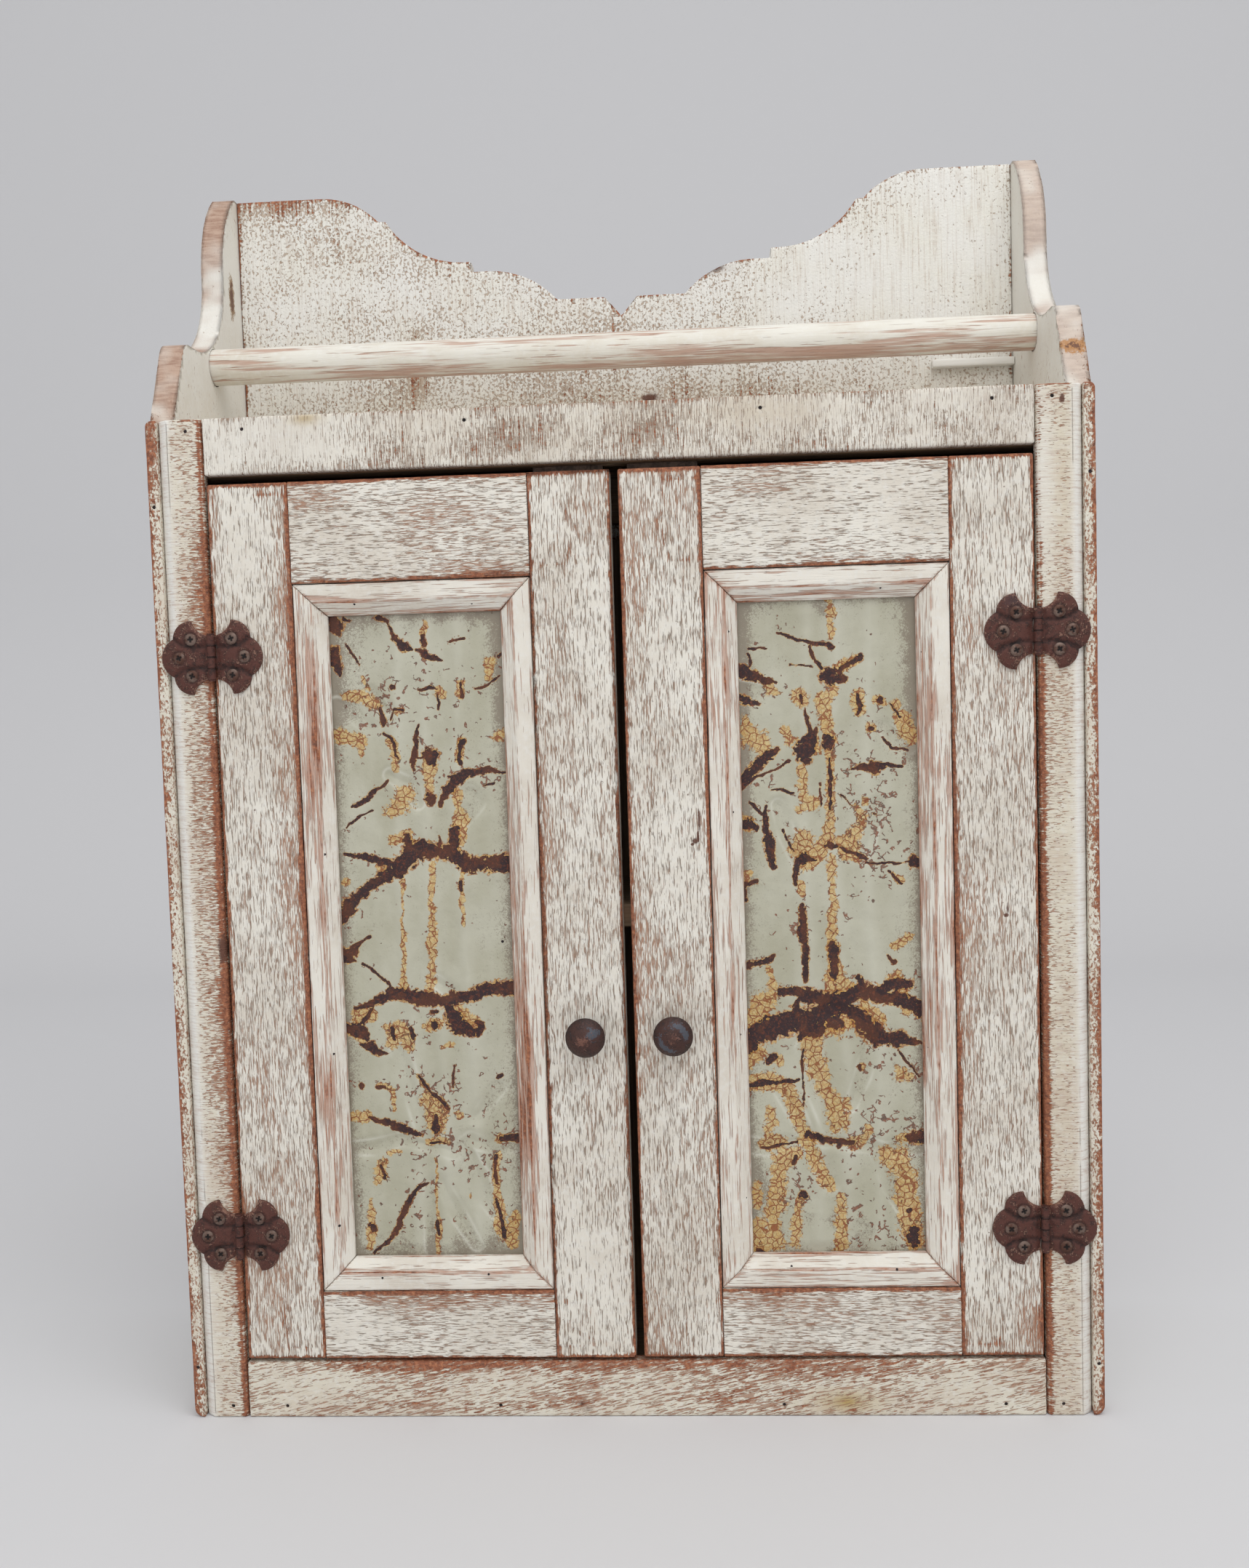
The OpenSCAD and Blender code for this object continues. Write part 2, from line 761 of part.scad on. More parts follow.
module right_hinge_stile() color(white) placed() hinge_stile();
module right_lock_stile() color(white) placed() lock_stile();
module right_top_rail() color(white) placed() door_rail(panel_z + panel_h, door_top, panel_z + panel_h);
module right_bottom_rail() color(white) placed() door_rail(door_z, panel_z, panel_z);
module right_moulding_top() color(white) placed() moulding_top();
module right_moulding_bottom() color(white) placed() moulding_bottom();
module right_moulding_outer() color(white) placed() moulding_upright(1);
module right_moulding_inner() color(white) placed() moulding_upright(-1);
module right_tin_panel() color(tin) placed() panel_sheet(tin_y, tin_t);
module right_backer() color(bare) placed() panel_sheet(tin_y + tin_t, backer_t);
module right_door_leaf_upper() color(rust) placed() door_leaf(hinge_up_z);
module right_door_leaf_lower() color(rust) placed() door_leaf(hinge_low_z);
module right_door_screws() color(steel) placed() door_screws();
module right_knob() color(rust) placed() knob();
module right_knob_bolt() color(steel) placed() knob_bolt();
module right_strike() color(steel) placed() strike();

module left_hinge_stile() color(white) placed() mirror([1, 0, 0]) hinge_stile();
module left_lock_stile() color(white) placed() mirror([1, 0, 0]) lock_stile();
module left_top_rail() color(white) placed() mirror([1, 0, 0])
    door_rail(panel_z + panel_h, door_top, panel_z + panel_h);
module left_bottom_rail() color(white) placed() mirror([1, 0, 0])
    door_rail(door_z, panel_z, panel_z);
module left_moulding_top() color(white) placed() mirror([1, 0, 0]) moulding_top();
module left_moulding_bottom() color(white) placed() mirror([1, 0, 0]) moulding_bottom();
module left_moulding_outer() color(white) placed() mirror([1, 0, 0]) moulding_upright(1);
module left_moulding_inner() color(white) placed() mirror([1, 0, 0]) moulding_upright(-1);
module left_tin_panel() color(tin) placed() mirror([1, 0, 0]) panel_sheet(tin_y, tin_t);
module left_backer() color(bare) placed() mirror([1, 0, 0]) panel_sheet(tin_y + tin_t, backer_t);
module left_door_leaf_upper() color(rust) placed() mirror([1, 0, 0]) door_leaf(hinge_up_z);
module left_door_leaf_lower() color(rust) placed() mirror([1, 0, 0]) door_leaf(hinge_low_z);
module left_door_screws() color(steel) placed() mirror([1, 0, 0]) door_screws();
module left_knob() color(rust) placed() mirror([1, 0, 0]) knob();
module left_knob_bolt() color(steel) placed() mirror([1, 0, 0]) knob_bolt();
module left_strike() color(steel) placed() mirror([1, 0, 0]) strike();

left_side();
right_side();
top_board();
bottom_board();
shelf();
crest_board();
back_board_left();
back_board_right();
hanging_rail();
catch_rail();
back_ledge();
towel_bar();
face_stile_left();
face_stile_right();
edge_strip_left();
edge_strip_right();
face_rail_top();
face_rail_bottom();
hinge_leaf_upper_left();
hinge_leaf_lower_left();
hinge_leaf_upper_right();
hinge_leaf_lower_right();
hinge_pins();
case_screws();
face_nails();
magnetic_catches();
left_hinge_stile();
left_lock_stile();
left_top_rail();
left_bottom_rail();
left_moulding_top();
left_moulding_bottom();
left_moulding_outer();
left_moulding_inner();
left_tin_panel();
left_backer();
left_door_leaf_upper();
left_door_leaf_lower();
left_door_screws();
left_knob();
left_knob_bolt();
left_strike();
right_hinge_stile();
right_lock_stile();
right_top_rail();
right_bottom_rail();
right_moulding_top();
right_moulding_bottom();
right_moulding_outer();
right_moulding_inner();
right_tin_panel();
right_backer();
right_door_leaf_upper();
right_door_leaf_lower();
right_door_screws();
right_knob();
right_knob_bolt();
right_strike();
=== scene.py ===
"""Looks of the painted wall cabinet: worn boards, rusted tin panels, iron hinges and knobs, and a stage.

Lengths in this file are in millimetres unless a name says otherwise; the mesh is in metres.
"""

import json
import math

import bmesh
import bpy
import numpy as np
from bpy.props import FloatProperty, FloatVectorProperty, IntProperty, PointerProperty
from mathutils import Matrix, Vector, kdtree, noise

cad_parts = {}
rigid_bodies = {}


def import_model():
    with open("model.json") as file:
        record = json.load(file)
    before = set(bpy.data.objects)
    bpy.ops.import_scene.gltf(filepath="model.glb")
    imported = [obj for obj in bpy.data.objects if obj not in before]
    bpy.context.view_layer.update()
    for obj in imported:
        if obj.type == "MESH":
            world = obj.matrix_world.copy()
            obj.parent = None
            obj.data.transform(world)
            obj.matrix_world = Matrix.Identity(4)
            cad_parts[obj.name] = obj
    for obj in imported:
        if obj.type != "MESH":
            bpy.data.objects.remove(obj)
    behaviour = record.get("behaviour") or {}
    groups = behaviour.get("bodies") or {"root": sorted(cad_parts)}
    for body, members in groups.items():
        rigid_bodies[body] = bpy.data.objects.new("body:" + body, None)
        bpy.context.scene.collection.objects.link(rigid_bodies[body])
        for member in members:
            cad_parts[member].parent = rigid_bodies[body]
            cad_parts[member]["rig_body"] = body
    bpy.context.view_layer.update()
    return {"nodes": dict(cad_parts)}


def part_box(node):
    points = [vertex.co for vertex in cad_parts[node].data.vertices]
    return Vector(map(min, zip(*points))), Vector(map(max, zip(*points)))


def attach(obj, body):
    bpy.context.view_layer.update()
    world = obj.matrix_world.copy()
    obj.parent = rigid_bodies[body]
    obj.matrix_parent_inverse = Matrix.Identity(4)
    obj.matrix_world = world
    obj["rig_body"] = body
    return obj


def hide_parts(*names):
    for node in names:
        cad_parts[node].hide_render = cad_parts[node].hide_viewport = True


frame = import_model()

bl_info = {
    "name": "Painted wall cabinet",
    "version": (1, 0, 0),
    "blender": (4, 5, 0),
    "location": "3D View > Sidebar > Cabinet",
    "description": "Dresses the wall cabinet in worn paint, rusted tin and old iron",
    "category": "Object",
}

MM = 0.001


def chart(text):
    """A colour as a paint chart writes it, such as "#D8D2C8", in Blender's linear values."""
    parts = [int(text[i : i + 2], 16) / 255 for i in (1, 3, 5)]
    return [p / 12.92 if p <= 0.04045 else ((p + 0.055) / 1.055) ** 2.4 for p in parts] + [1.0]


def colour(name, text, description):
    return FloatVectorProperty(
        name=name, description=description, subtype="COLOR", size=4, min=0, max=1, default=chart(text)
    )


def number(name, default, description, low, high):
    return FloatProperty(name=name, description=description, default=default, min=low, max=high)


# What a user would change


class CabinetPaint(bpy.types.PropertyGroup):
    """Colours of the paint and of the wood that shows through it."""

    cream: colour("Cream", "#E0DACA", "Paint of the case")
    cream_shade: colour("Cream, thin", "#D4C9B8", "Where the cream paint is thin or dirty")
    crest: colour("Crest cream", "#E5E2D8", "Paint of the crest and the sides")
    crest_shade: colour("Crest cream, thin", "#DAD3C5", "Where the crest's paint is thin")
    white: colour("White", "#E8E3D8", "Paint of the doors")
    white_shade: colour("White, thin", "#D8D0C3", "Where the white paint is thin")
    chalk: colour("Chalk", "#E8E6E0", "Thick, clean paint")
    stain: colour("Stain", "#B2965A", "Yellow stains and knots")
    veil: colour("Rubbed paint", "#A67C64", "Wood that a little paint still covers")
    veil_grey: colour("Rubbed paint, grey", "#A28B79", "Rubbed paint of the rail over the doors")
    veil_crest: colour("Rubbed paint, pale", "#B29C88", "Rubbed paint of the crest")
    veil_pink: colour("Rubbed paint, pink", "#BF9C8A", "Rubbed paint of the mouldings and the towel bar")
    gap: colour("Gap", "#84705F", "Thin gaps between the ridges of the door paint")
    timber: colour("Bare wood", "#9F6449", "Reddish brown wood where the paint is gone")
    timber_pale: colour("Bare wood, pale", "#BF8763", "Paler streaks of that wood")
    dark: colour("Old wood", "#684639", "Dirt in cracks and nail holes")
    rim: colour("Sawn edge", "#B5937D", "Sawn edges of the sides, thinly painted")
    rim_dark: colour("Sawn edge, worn", "#94684F", "Worn ripples of those edges")
    inside: colour("Inside wood", "#A89078", "Unpainted boards at the back and inside")
    inside_dark: colour("Inside grain", "#87705A", "Grain lines of the unpainted boards")


class CabinetMetal(bpy.types.PropertyGroup):
    """Colours of the tin panels, hinges, knobs and screws."""

    tin: colour("Tin paint", "#ADAA95", "Pale grey green paint of the tin")
    tin_light: colour("Tin, light", "#BBB9A7", "Ridges of the tin")
    # Painted highlight beside the creases and on the flutes' ridges
    tin_painted_highlight: colour("Tin, bright", "#D6D5C8", "Rubbed rims of the dents")
    # Dirt, and also painted shade along the mouldings, in creases and hollows and beside the flutes
    tin_grime_and_shade: colour("Tin dirt", "#84796A", "Dirt along the sides of the tin")
    ochre: colour("Ochre", "#CA9A4B", "Crackled rust stain")
    ochre_pale: colour("Ochre, pale", "#D2B97A", "Paler part of that stain")
    orange: colour("Orange rust", "#8C4D27", "Rim of a rust spot")
    rust: colour("Rust", "#523024", "Bare rusted tin")
    rust_red: colour("Red rust", "#86462A", "Fresher rust")
    blackness: colour("Black rust", "#342224", "Oldest rust")
    iron: colour("Hinge iron", "#59342C", "Brown iron of the hinges")
    # Rubbed iron, and also a painted highlight, on the lobes and high places of the hinges
    iron_rubbed_and_highlight: colour("Hinge iron, rubbed", "#96705F", "High places of the hinges")
    patina: colour("Knob patina", "#472D27", "Dark brown of the knobs")
    # On the left knob this blue grey is a painted sheen; on the right knob it is a ring of patina
    patina_blue_and_sheen: colour("Knob patina, blue", "#50555F", "Blue grey patch on the knobs")
    steel: colour("Screw steel", "#746259", "Heads of the screws")


class CabinetSizes(bpy.types.PropertyGroup):
    """How finely the pieces are cut, and how far their arrises are rubbed."""

    arris: number("Arris", 1.2, "Width of a worn arris in millimetres", 0.2, 4)
    board_cut: number("Board cut", 4.0, "Distance between cuts on a front board in millimetres", 2, 20)
    hidden_cut: number("Hidden cut", 12.0, "Distance between cuts on a hidden board in millimetres", 4, 40)
    tin_cut: number("Tin cut", 0.85, "Distance between cuts on the tin in millimetres", 0.6, 10)
    hinge_cut: number("Hinge cut", 1.1, "Distance between cuts on a hinge leaf in millimetres", 0.6, 5)
    screw_cuts: IntProperty(
        name="Screw cuts", description="Cuts across a screw head", default=18, min=6, max=40
    )


class CabinetStage(bpy.types.PropertyGroup):
    """Floor, light and camera."""

    floor: colour("Floor", "#DADADC", "Pale floor and backdrop")
    sky: number("Sky", 0.72, "Strength of the even light", 0, 3)
    key: number("Key", 18, "Power of the large lamp above in watts", 0, 500)
    fill: number("Fill", 8, "Power of the lamp in front in watts", 0, 500)
    lens: FloatProperty(
        name="Lens", description="Focal length", default=33.96, min=10, max=200, unit="CAMERA"
    )
    camera_at: FloatVectorProperty(
        name="Camera place", description="Where the camera stands", default=(0.0572, -1.0387, 0.4877),
        unit="LENGTH",
    )


# Finishes


class Finish:
    """One procedural material, built node by node on the piece's own place in millimetres.

    A size is one number, or one each for x, y and z.
    """

    def __init__(self, name, roughness, metallic=0.0, specular=0.35):
        self.material = bpy.data.materials.new(name)
        self.material.use_nodes = True
        self.tree = self.material.node_tree
        self.shader = self.tree.nodes["Principled BSDF"]
        self.shader.inputs["Roughness"].default_value = roughness
        self.shader.inputs["Metallic"].default_value = metallic
        self.shader.inputs["Specular IOR Level"].default_value = specular
        self.place = self.add("ShaderNodeTexCoord").outputs["Object"]

    def put(self, socket, value):
        """Links a value that is a socket and writes one that is a number or colour."""
        if isinstance(value, bpy.types.NodeSocket):
            self.tree.links.new(value, socket)
        else:
            socket.default_value = value

    def add(self, kind, inputs=(), **settings):
        """A node with its settings written and its inputs, by name or number, put in."""
        node = self.tree.nodes.new(kind)
        for key, value in settings.items():
            setattr(node, key, value)
        for key, value in dict(inputs).items():
            self.put(node.inputs[key], value)
        return node

    def math(self, kind, *values, clamp=False):
        """The result of one sum, with each value a number or a socket."""
        return self.add("ShaderNodeMath", enumerate(values), operation=kind, use_clamp=clamp).outputs[0]

    def plus(self, first, second):
        return self.math("ADD", first, second)

    def times(self, first, second, clamp=False):
        return self.math("MULTIPLY", first, second, clamp=clamp)

    def times_plus(self, value, factor, extra):
        return self.math("MULTIPLY_ADD", value, factor, extra)

    def higher(self, first, second):
        return self.math("MAXIMUM", first, second)

    def total(self, *terms):
        """Sum of (value, weight) pairs, each value taken from its middle of a half."""
        result = None
        for value, weight in terms:
            part = self.times_plus(value, weight, -0.5 * weight)
            result = part if result is None else self.plus(result, part)
        return result

    def scaled(self, size, shift=(0, 0, 0), tilt=0.0):
        """The place measured in units of size, after a tilt about y in degrees."""
        place = self.place
        if tilt:
            turn = {"Vector": place, "Angle": math.radians(tilt)}
            place = self.add("ShaderNodeVectorRotate", turn, rotation_type="Y_AXIS").outputs["Vector"]
        sizes = [size] * 3 if isinstance(size, (int, float)) else size
        inputs = {"Vector": place, "Scale": [1 / (s * MM) for s in sizes], "Location": shift}
        return self.add("ShaderNodeMapping", inputs).outputs["Vector"]

    def noise(self, size, detail, rough, warp=0.0, shift=(0, 0, 0), tilt=0.0):
        place = self.scaled(size, shift, tilt)
        inputs = {"Vector": place, "Scale": 1.0, "Detail": detail, "Roughness": rough, "Distortion": warp}
        return self.add("ShaderNodeTexNoise", inputs).outputs["Fac"]

    def cells(self, size, warp, shift):
        """Distance to the edges of a cracked pattern, its lines bent by warp cells."""
        place = self.scaled(size, shift)
        bend = self.add("ShaderNodeTexNoise", {"Vector": place, "Scale": 1.3, "Detail": 4}).outputs["Color"]
        bent = self.add("ShaderNodeVectorMath", {0: bend, 1: [warp] * 3, 2: place}, operation="MULTIPLY_ADD")
        inputs = {"Vector": bent.outputs["Vector"], "Scale": 1.0}
        return self.add("ShaderNodeTexVoronoi", inputs, feature="DISTANCE_TO_EDGE").outputs["Distance"]

    def rise(self, value, low, high):
        """Nought below low, one above high, and smooth between."""
        inputs = {"Value": value, "From Min": low, "From Max": high}
        return self.add("ShaderNodeMapRange", inputs, interpolation_type="SMOOTHSTEP").outputs["Result"]

    def mix(self, share, first, second):
        """A blend of two colours, through the node's sockets for colours."""
        return self.add("ShaderNodeMix", {0: share, 6: first, 7: second}, data_type="RGBA").outputs[2]

    def tint(self, base, share, strength, second):
        """The base with a second colour over it, as far as the share says and at most as strength says."""
        return self.mix(self.times(share, strength), base, second)

    def spot(self, centre, size):
        """One at the centre, nought at the size's distance along x, y and z, all in millimetres."""
        place = self.scaled(size, [-c / s for c, s in zip(centre, size)])
        return self.add("ShaderNodeTexGradient", {"Vector": place}, gradient_type="SPHERICAL").outputs["Fac"]

    def mark(self, name):
        """A value painted on the mesh, as an attribute."""
        return self.add("ShaderNodeAttribute", attribute_name=name).outputs["Fac"]

    def done(self, base, height, deep, roughness=None):
        """Puts in the colour, the bumps, which are deep millimetres high, and the roughness."""
        bump = self.add("ShaderNodeBump", {"Distance": deep * MM, "Strength": 1.0, "Height": height})
        self.put(self.shader.inputs["Base Color"], base)
        self.put(self.shader.inputs["Normal"], bump.outputs["Normal"])
        if roughness is not None:
            self.put(self.shader.inputs["Roughness"], roughness)


def along(grain, across, run):
    """Size of a mark that runs with the grain."""
    return [run if axis == grain else across for axis in "xyz"]


def over(grain, thin, run):
    """Size of a mark that lies across the grain."""
    return along(grain, run, thin)


def paint_cover(f, coat, shade, tone, blotch):
    """The coat, thin or dirty in places, stained, and chalky where it is thick or fresh."""
    paint = bpy.context.scene.cabinet_paint
    cover = f.mix(f.rise(tone, 0.35, 0.7), coat, shade)
    cover = f.tint(cover, f.rise(blotch, 0.45, 0.7), 0.45, paint.chalk)
    cover = f.tint(cover, f.mark("stain"), 0.8, paint.stain)
    # Chalk where marked fresh: fresh paint, and on the sides' upper inner faces painted light
    return f.mix(f.times(f.mark("fresh"), 1.2, clamp=True), cover, paint.chalk)


def bare_timber(f, streak):
    """Reddish brown wood with dark and pale streaks."""
    paint = bpy.context.scene.cabinet_paint
    wood = f.mix(f.rise(streak, 0.4, 0.75), paint.timber, paint.dark)
    return f.tint(wood, f.rise(streak, 0.5, 0.3), 0.7, paint.timber_pale)


def rubbed_arrises(f, ragged, stretch, power, solid):
    """How bare the arrises are: unevenly along their length, and not at all where the paint is fresh."""
    chance = f.times_plus(ragged, 0.8, f.times_plus(stretch, 1.6, -0.5))
    near = f.times(f.math("POWER", f.mark("edge"), power), f.higher(chance, solid))
    return f.times(near, f.math("SUBTRACT", 1.0, f.mark("fresh")))


def sawn_rims(f, base, stretch):
    """The base with the rippled colours of sawn edges over it, where they are marked."""
    paint = bpy.context.scene.cabinet_paint
    ripple = f.noise((12, 2.2, 2.2), 3, 0.6, 0.3, shift=(8, 8, 8))
    rim = f.mix(f.rise(ripple, 0.35, 0.68), paint.rim, paint.rim_dark)
    return f.tint(base, f.times(f.mark("rim"), f.rise(stretch, 0.3, 0.54)), 0.95, rim)


def with_knots(f, base, knots, ragged, streak):
    """The base with knots over it, each a centre, a size and the colour of its ring."""
    paint = bpy.context.scene.cabinet_paint
    for centre, size, ring in knots:
        near = f.plus(f.spot(centre, size), f.total((ragged, 0.7), (streak, 0.9)))
        base = f.tint(base, f.rise(near, 0.2, 0.45), 0.85, ring)
        base = f.tint(base, f.rise(near, 0.5, 0.62), 0.9, paint.dark)
    return base


def worn_paint(
    name, coat, shade, hair, marks, patch, level, hair_level, tilt=0.0, knots=(), edge_wear=0.45,
    edge_power=6.0, bare=0.11, soft=0.03, deep=0.3, rim=False, veil=None, ridges=None, saw=None, solid=0.0,
):
    """Old paint over brown wood.

    hair is the size of the fine gaps in the paint, marks are sizes and weights of the larger bare places,
    patch is the size and weight of the areas with more or less paint, and level and hair_level say how much
    of the paint is gone, the higher the less. bare and soft are how slowly it gives way to wood and to rubbed
    paint. ridges is the size of the long ridges that the paint stands in, saw is the size of faint saw lines,
    and solid says how evenly the arrises are bare.
    """
    paint = bpy.context.scene.cabinet_paint
    veil = veil or paint.veil
    f = Finish(name, roughness=0.62, specular=0.3)
    ragged = f.noise(5, 3, 0.6, shift=(31, 2, 9))
    stretch = f.noise(45, 2, 0.5, shift=(13, 5, 5))
    tone = f.noise(50, 3, 0.6, shift=(3, 8, 1))
    blotch = f.noise(4, 3, 0.6, shift=(1, 1, 7))
    streak = f.noise(2.5, 4, 0.65, shift=(5, 5, 2))
    fine = f.noise(0.7, 2, 0.5, shift=(1, 9, 4))
    gap = f.noise(hair, 2, 0.5, 0.5, shift=(2, 6, 1), tilt=tilt)

    # How much of the paint is gone at each place
    area = f.total((f.noise(patch[0], 3, 0.55, 0.3, shift=(21, 4, 11)), patch[1]))
    place = f.plus(area, f.times_plus(f.mark("fresh"), -0.45, f.times(f.mark("worn"), 0.3)))
    texture = f.total((gap, 0.55), *(
        (f.noise(size, 2, 0.55, 0.3, shift=(n * 7, n * 3, n * 5), tilt=tilt), weight)
        for n, (size, weight) in enumerate(marks)
    ))
    near = rubbed_arrises(f, ragged, stretch, edge_power, solid)
    field = f.times_plus(near, edge_wear, f.plus(texture, place))
    hairs = f.rise(f.times_plus(place, 0.6, f.total((gap, 1.0))), hair_level - 0.01, hair_level + 0.025)
    thin = f.rise(field, level - soft, level + 0.015)
    gone = f.rise(field, level + 0.3 * bare, level + bare)

    # The paint with its saw lines and ridges, then the wood, the sawn edges, the dirt and the knots
    base = paint_cover(f, coat, shade, tone, blotch)
    if saw:
        lines = f.noise(saw, 2, 0.5, shift=(5, 1, 2))
        seen = f.times(f.rise(blotch, 0.4, 0.6), f.rise(tone, 0.3, 0.65))
        seen = f.times(f.rise(lines, 0.48, 0.62), f.times_plus(seen, 0.3, 0.12))
        base = f.mix(seen, base, veil)
        texture = f.times_plus(lines, 0.4, texture)
    base = f.tint(base, hairs, 0.5 if ridges else 0.8, veil)
    if ridges:
        crowd = f.plus(place, f.total((gap, 0.9), (f.noise(hair, 2, 0.5, shift=(9, 2, 8)), 0.9)))
        split = f.rise(f.cells(ridges, 0.45, shift=(6, 2, 5)), 0.17, 0.08)
        split = f.times(split, f.rise(crowd, -0.02, 0.14))
        base = f.tint(base, split, 0.85, f.mix(f.rise(place, -0.06, 0.15), paint.gap, veil))
        hairs = f.higher(hairs, split)
    base = f.tint(base, thin, 0.85, veil)
    base = f.mix(gone, base, bare_timber(f, streak))
    if rim:
        base = sawn_rims(f, base, stretch)
    base = f.mix(f.mark("blackness"), base, paint.dark)
    base = with_knots(f, base, knots, ragged, streak)

    height = f.times_plus(thin, -0.6, f.times(texture, -1.2))
    height = f.times_plus(hairs, -0.7, height)
    height = f.times_plus(fine, 0.25, height)
    f.done(base, height, deep, f.times_plus(gone, 0.14, 0.58))


def bare_board(name, grain):
    """Unpainted old board with long grain lines."""
    paint = bpy.context.scene.cabinet_paint
    f = Finish(name, roughness=0.7, specular=0.25)
    lines = f.noise(along(grain, 1.6, 120), 4, 0.6, 0.4)
    wide = f.noise(along(grain, 14, 220), 3, 0.5, 0.8, shift=(4, 4, 4))
    base = f.mix(f.rise(lines, 0.42, 0.66), paint.inside, paint.inside_dark)
    base = f.tint(base, f.rise(wide, 0.4, 0.7), 0.25, paint.timber_pale)
    base = f.tint(base, f.mark("edge"), 0.35, paint.inside_dark)
    f.done(base, f.times(lines, -1.0), 0.25)


def rusted_tin(name):
    """Pale paint on tin, broken by rust, ochre crackle, dents and dirt, with painted shade and painted
    highlights.
    """
    metal = bpy.context.scene.cabinet_metal
    f = Finish(name, roughness=0.45, specular=0.4)
    ragged = f.noise(7, 5, 0.7, 0.8)
    fine = f.noise(1.8, 4, 0.7, 0.5, shift=(8, 1, 3))
    speck = f.noise(0.8, 3, 0.6, shift=(6, 4, 4))
    tone = f.noise((30, 30, 60), 3, 0.6, shift=(2, 2, 2))
    base = f.mix(f.rise(tone, 0.3, 0.7), metal.tin, metal.tin_light)
    # Dirt and soot, and painted shade along the mouldings, in creases, in the waves' hollows and beside the
    # flutes
    darkening = f.plus(f.total((ragged, 1.2), (fine, 1.5), (speck, 1.5)), f.mark("grime_and_shade"))
    base = f.tint(base, f.rise(darkening, 0.28, 0.85), 0.85, metal.tin_grime_and_shade)
    # Painted highlight beside the creases and on the flutes' ridges
    base = f.tint(base, f.mark("painted_highlight"), 0.55, metal.tin_painted_highlight)

    stain = f.plus(f.mark("ochre"), f.total((ragged, 1.3), (fine, 1.0)))
    stain = f.times_plus(f.mark("halo"), 0.25, stain)
    wash = f.mix(f.rise(fine, 0.4, 0.62), metal.ochre_pale, metal.ochre)
    base = f.tint(base, f.rise(stain, 0.4, 0.6), 0.75, wash)
    wide_net = f.cells(5, 0.6, shift=(1, 0, 0))
    close_net = f.cells(2.8, 0.6, shift=(4, 9, 1))
    net = f.higher(f.rise(wide_net, 0.07, 0.04), f.times(f.rise(close_net, 0.09, 0.04), 0.4))
    net = f.times(net, f.rise(stain, 0.42, 0.52))
    net_colour = f.mix(f.rise(ragged, 0.4, 0.6), metal.orange, metal.rust_red)
    base = f.tint(base, net, 0.9, net_colour)

    torn = f.total((f.noise(6.5, 2, 0.5, 1.5, shift=(4, 4, 8)), 1.3), (fine, 0.5))
    torn = f.times(torn, f.times(f.mark("rust"), 4.0, clamp=True))
    hole = f.plus(f.mark("rust"), torn)
    cracks = f.rise(f.cells(11, 0.9, shift=(3, 3, 3)), 0.05, 0.025)
    cracks = f.higher(cracks, f.rise(f.cells(6, 0.9, shift=(7, 3, 1)), 0.075, 0.04))
    breaks = f.noise(5, 1, 0.5, shift=(9, 0, 4))
    crowd = f.plus(f.mark("flaked"), f.total((breaks, 1.8), (f.noise(26, 2, 0.5), 0.9)))
    crowd = f.times_plus(f.mark("halo"), 0.25, crowd)
    ticks = f.times(cracks, f.rise(crowd, 0.34, 0.38))
    base = f.tint(base, ticks, 0.85, f.mix(f.rise(fine, 0.4, 0.6), metal.rust, metal.rust_red))

    fringe = f.rise(hole, 0.2, 0.34)
    core = f.rise(hole, 0.43, 0.45)
    base = f.tint(base, fringe, 0.8, f.mix(f.rise(fine, 0.42, 0.58), metal.ochre, metal.orange))
    old = f.mix(f.rise(f.noise(13, 3, 0.6, shift=(5, 7, 7)), 0.4, 0.52), metal.rust, metal.blackness)
    old = f.tint(old, f.rise(fine, 0.5, 0.66), 0.5, metal.rust_red)
    old = f.tint(old, f.rise(speck, 0.58, 0.75), 0.3, metal.tin_grime_and_shade)
    base = f.mix(core, base, old)
    sunk = f.higher(core, f.times(f.higher(net, ticks), 0.5))
    height = f.times_plus(f.noise(8, 3, 0.5, shift=(2, 2, 9)), 1.2, f.times(sunk, -0.9))
    height = f.times_plus(fine, 0.3, height)
    f.done(base, height, 0.4, f.times_plus(core, 0.34, 0.34))


BLACK = (0.012, 0.009, 0.009, 1.0)


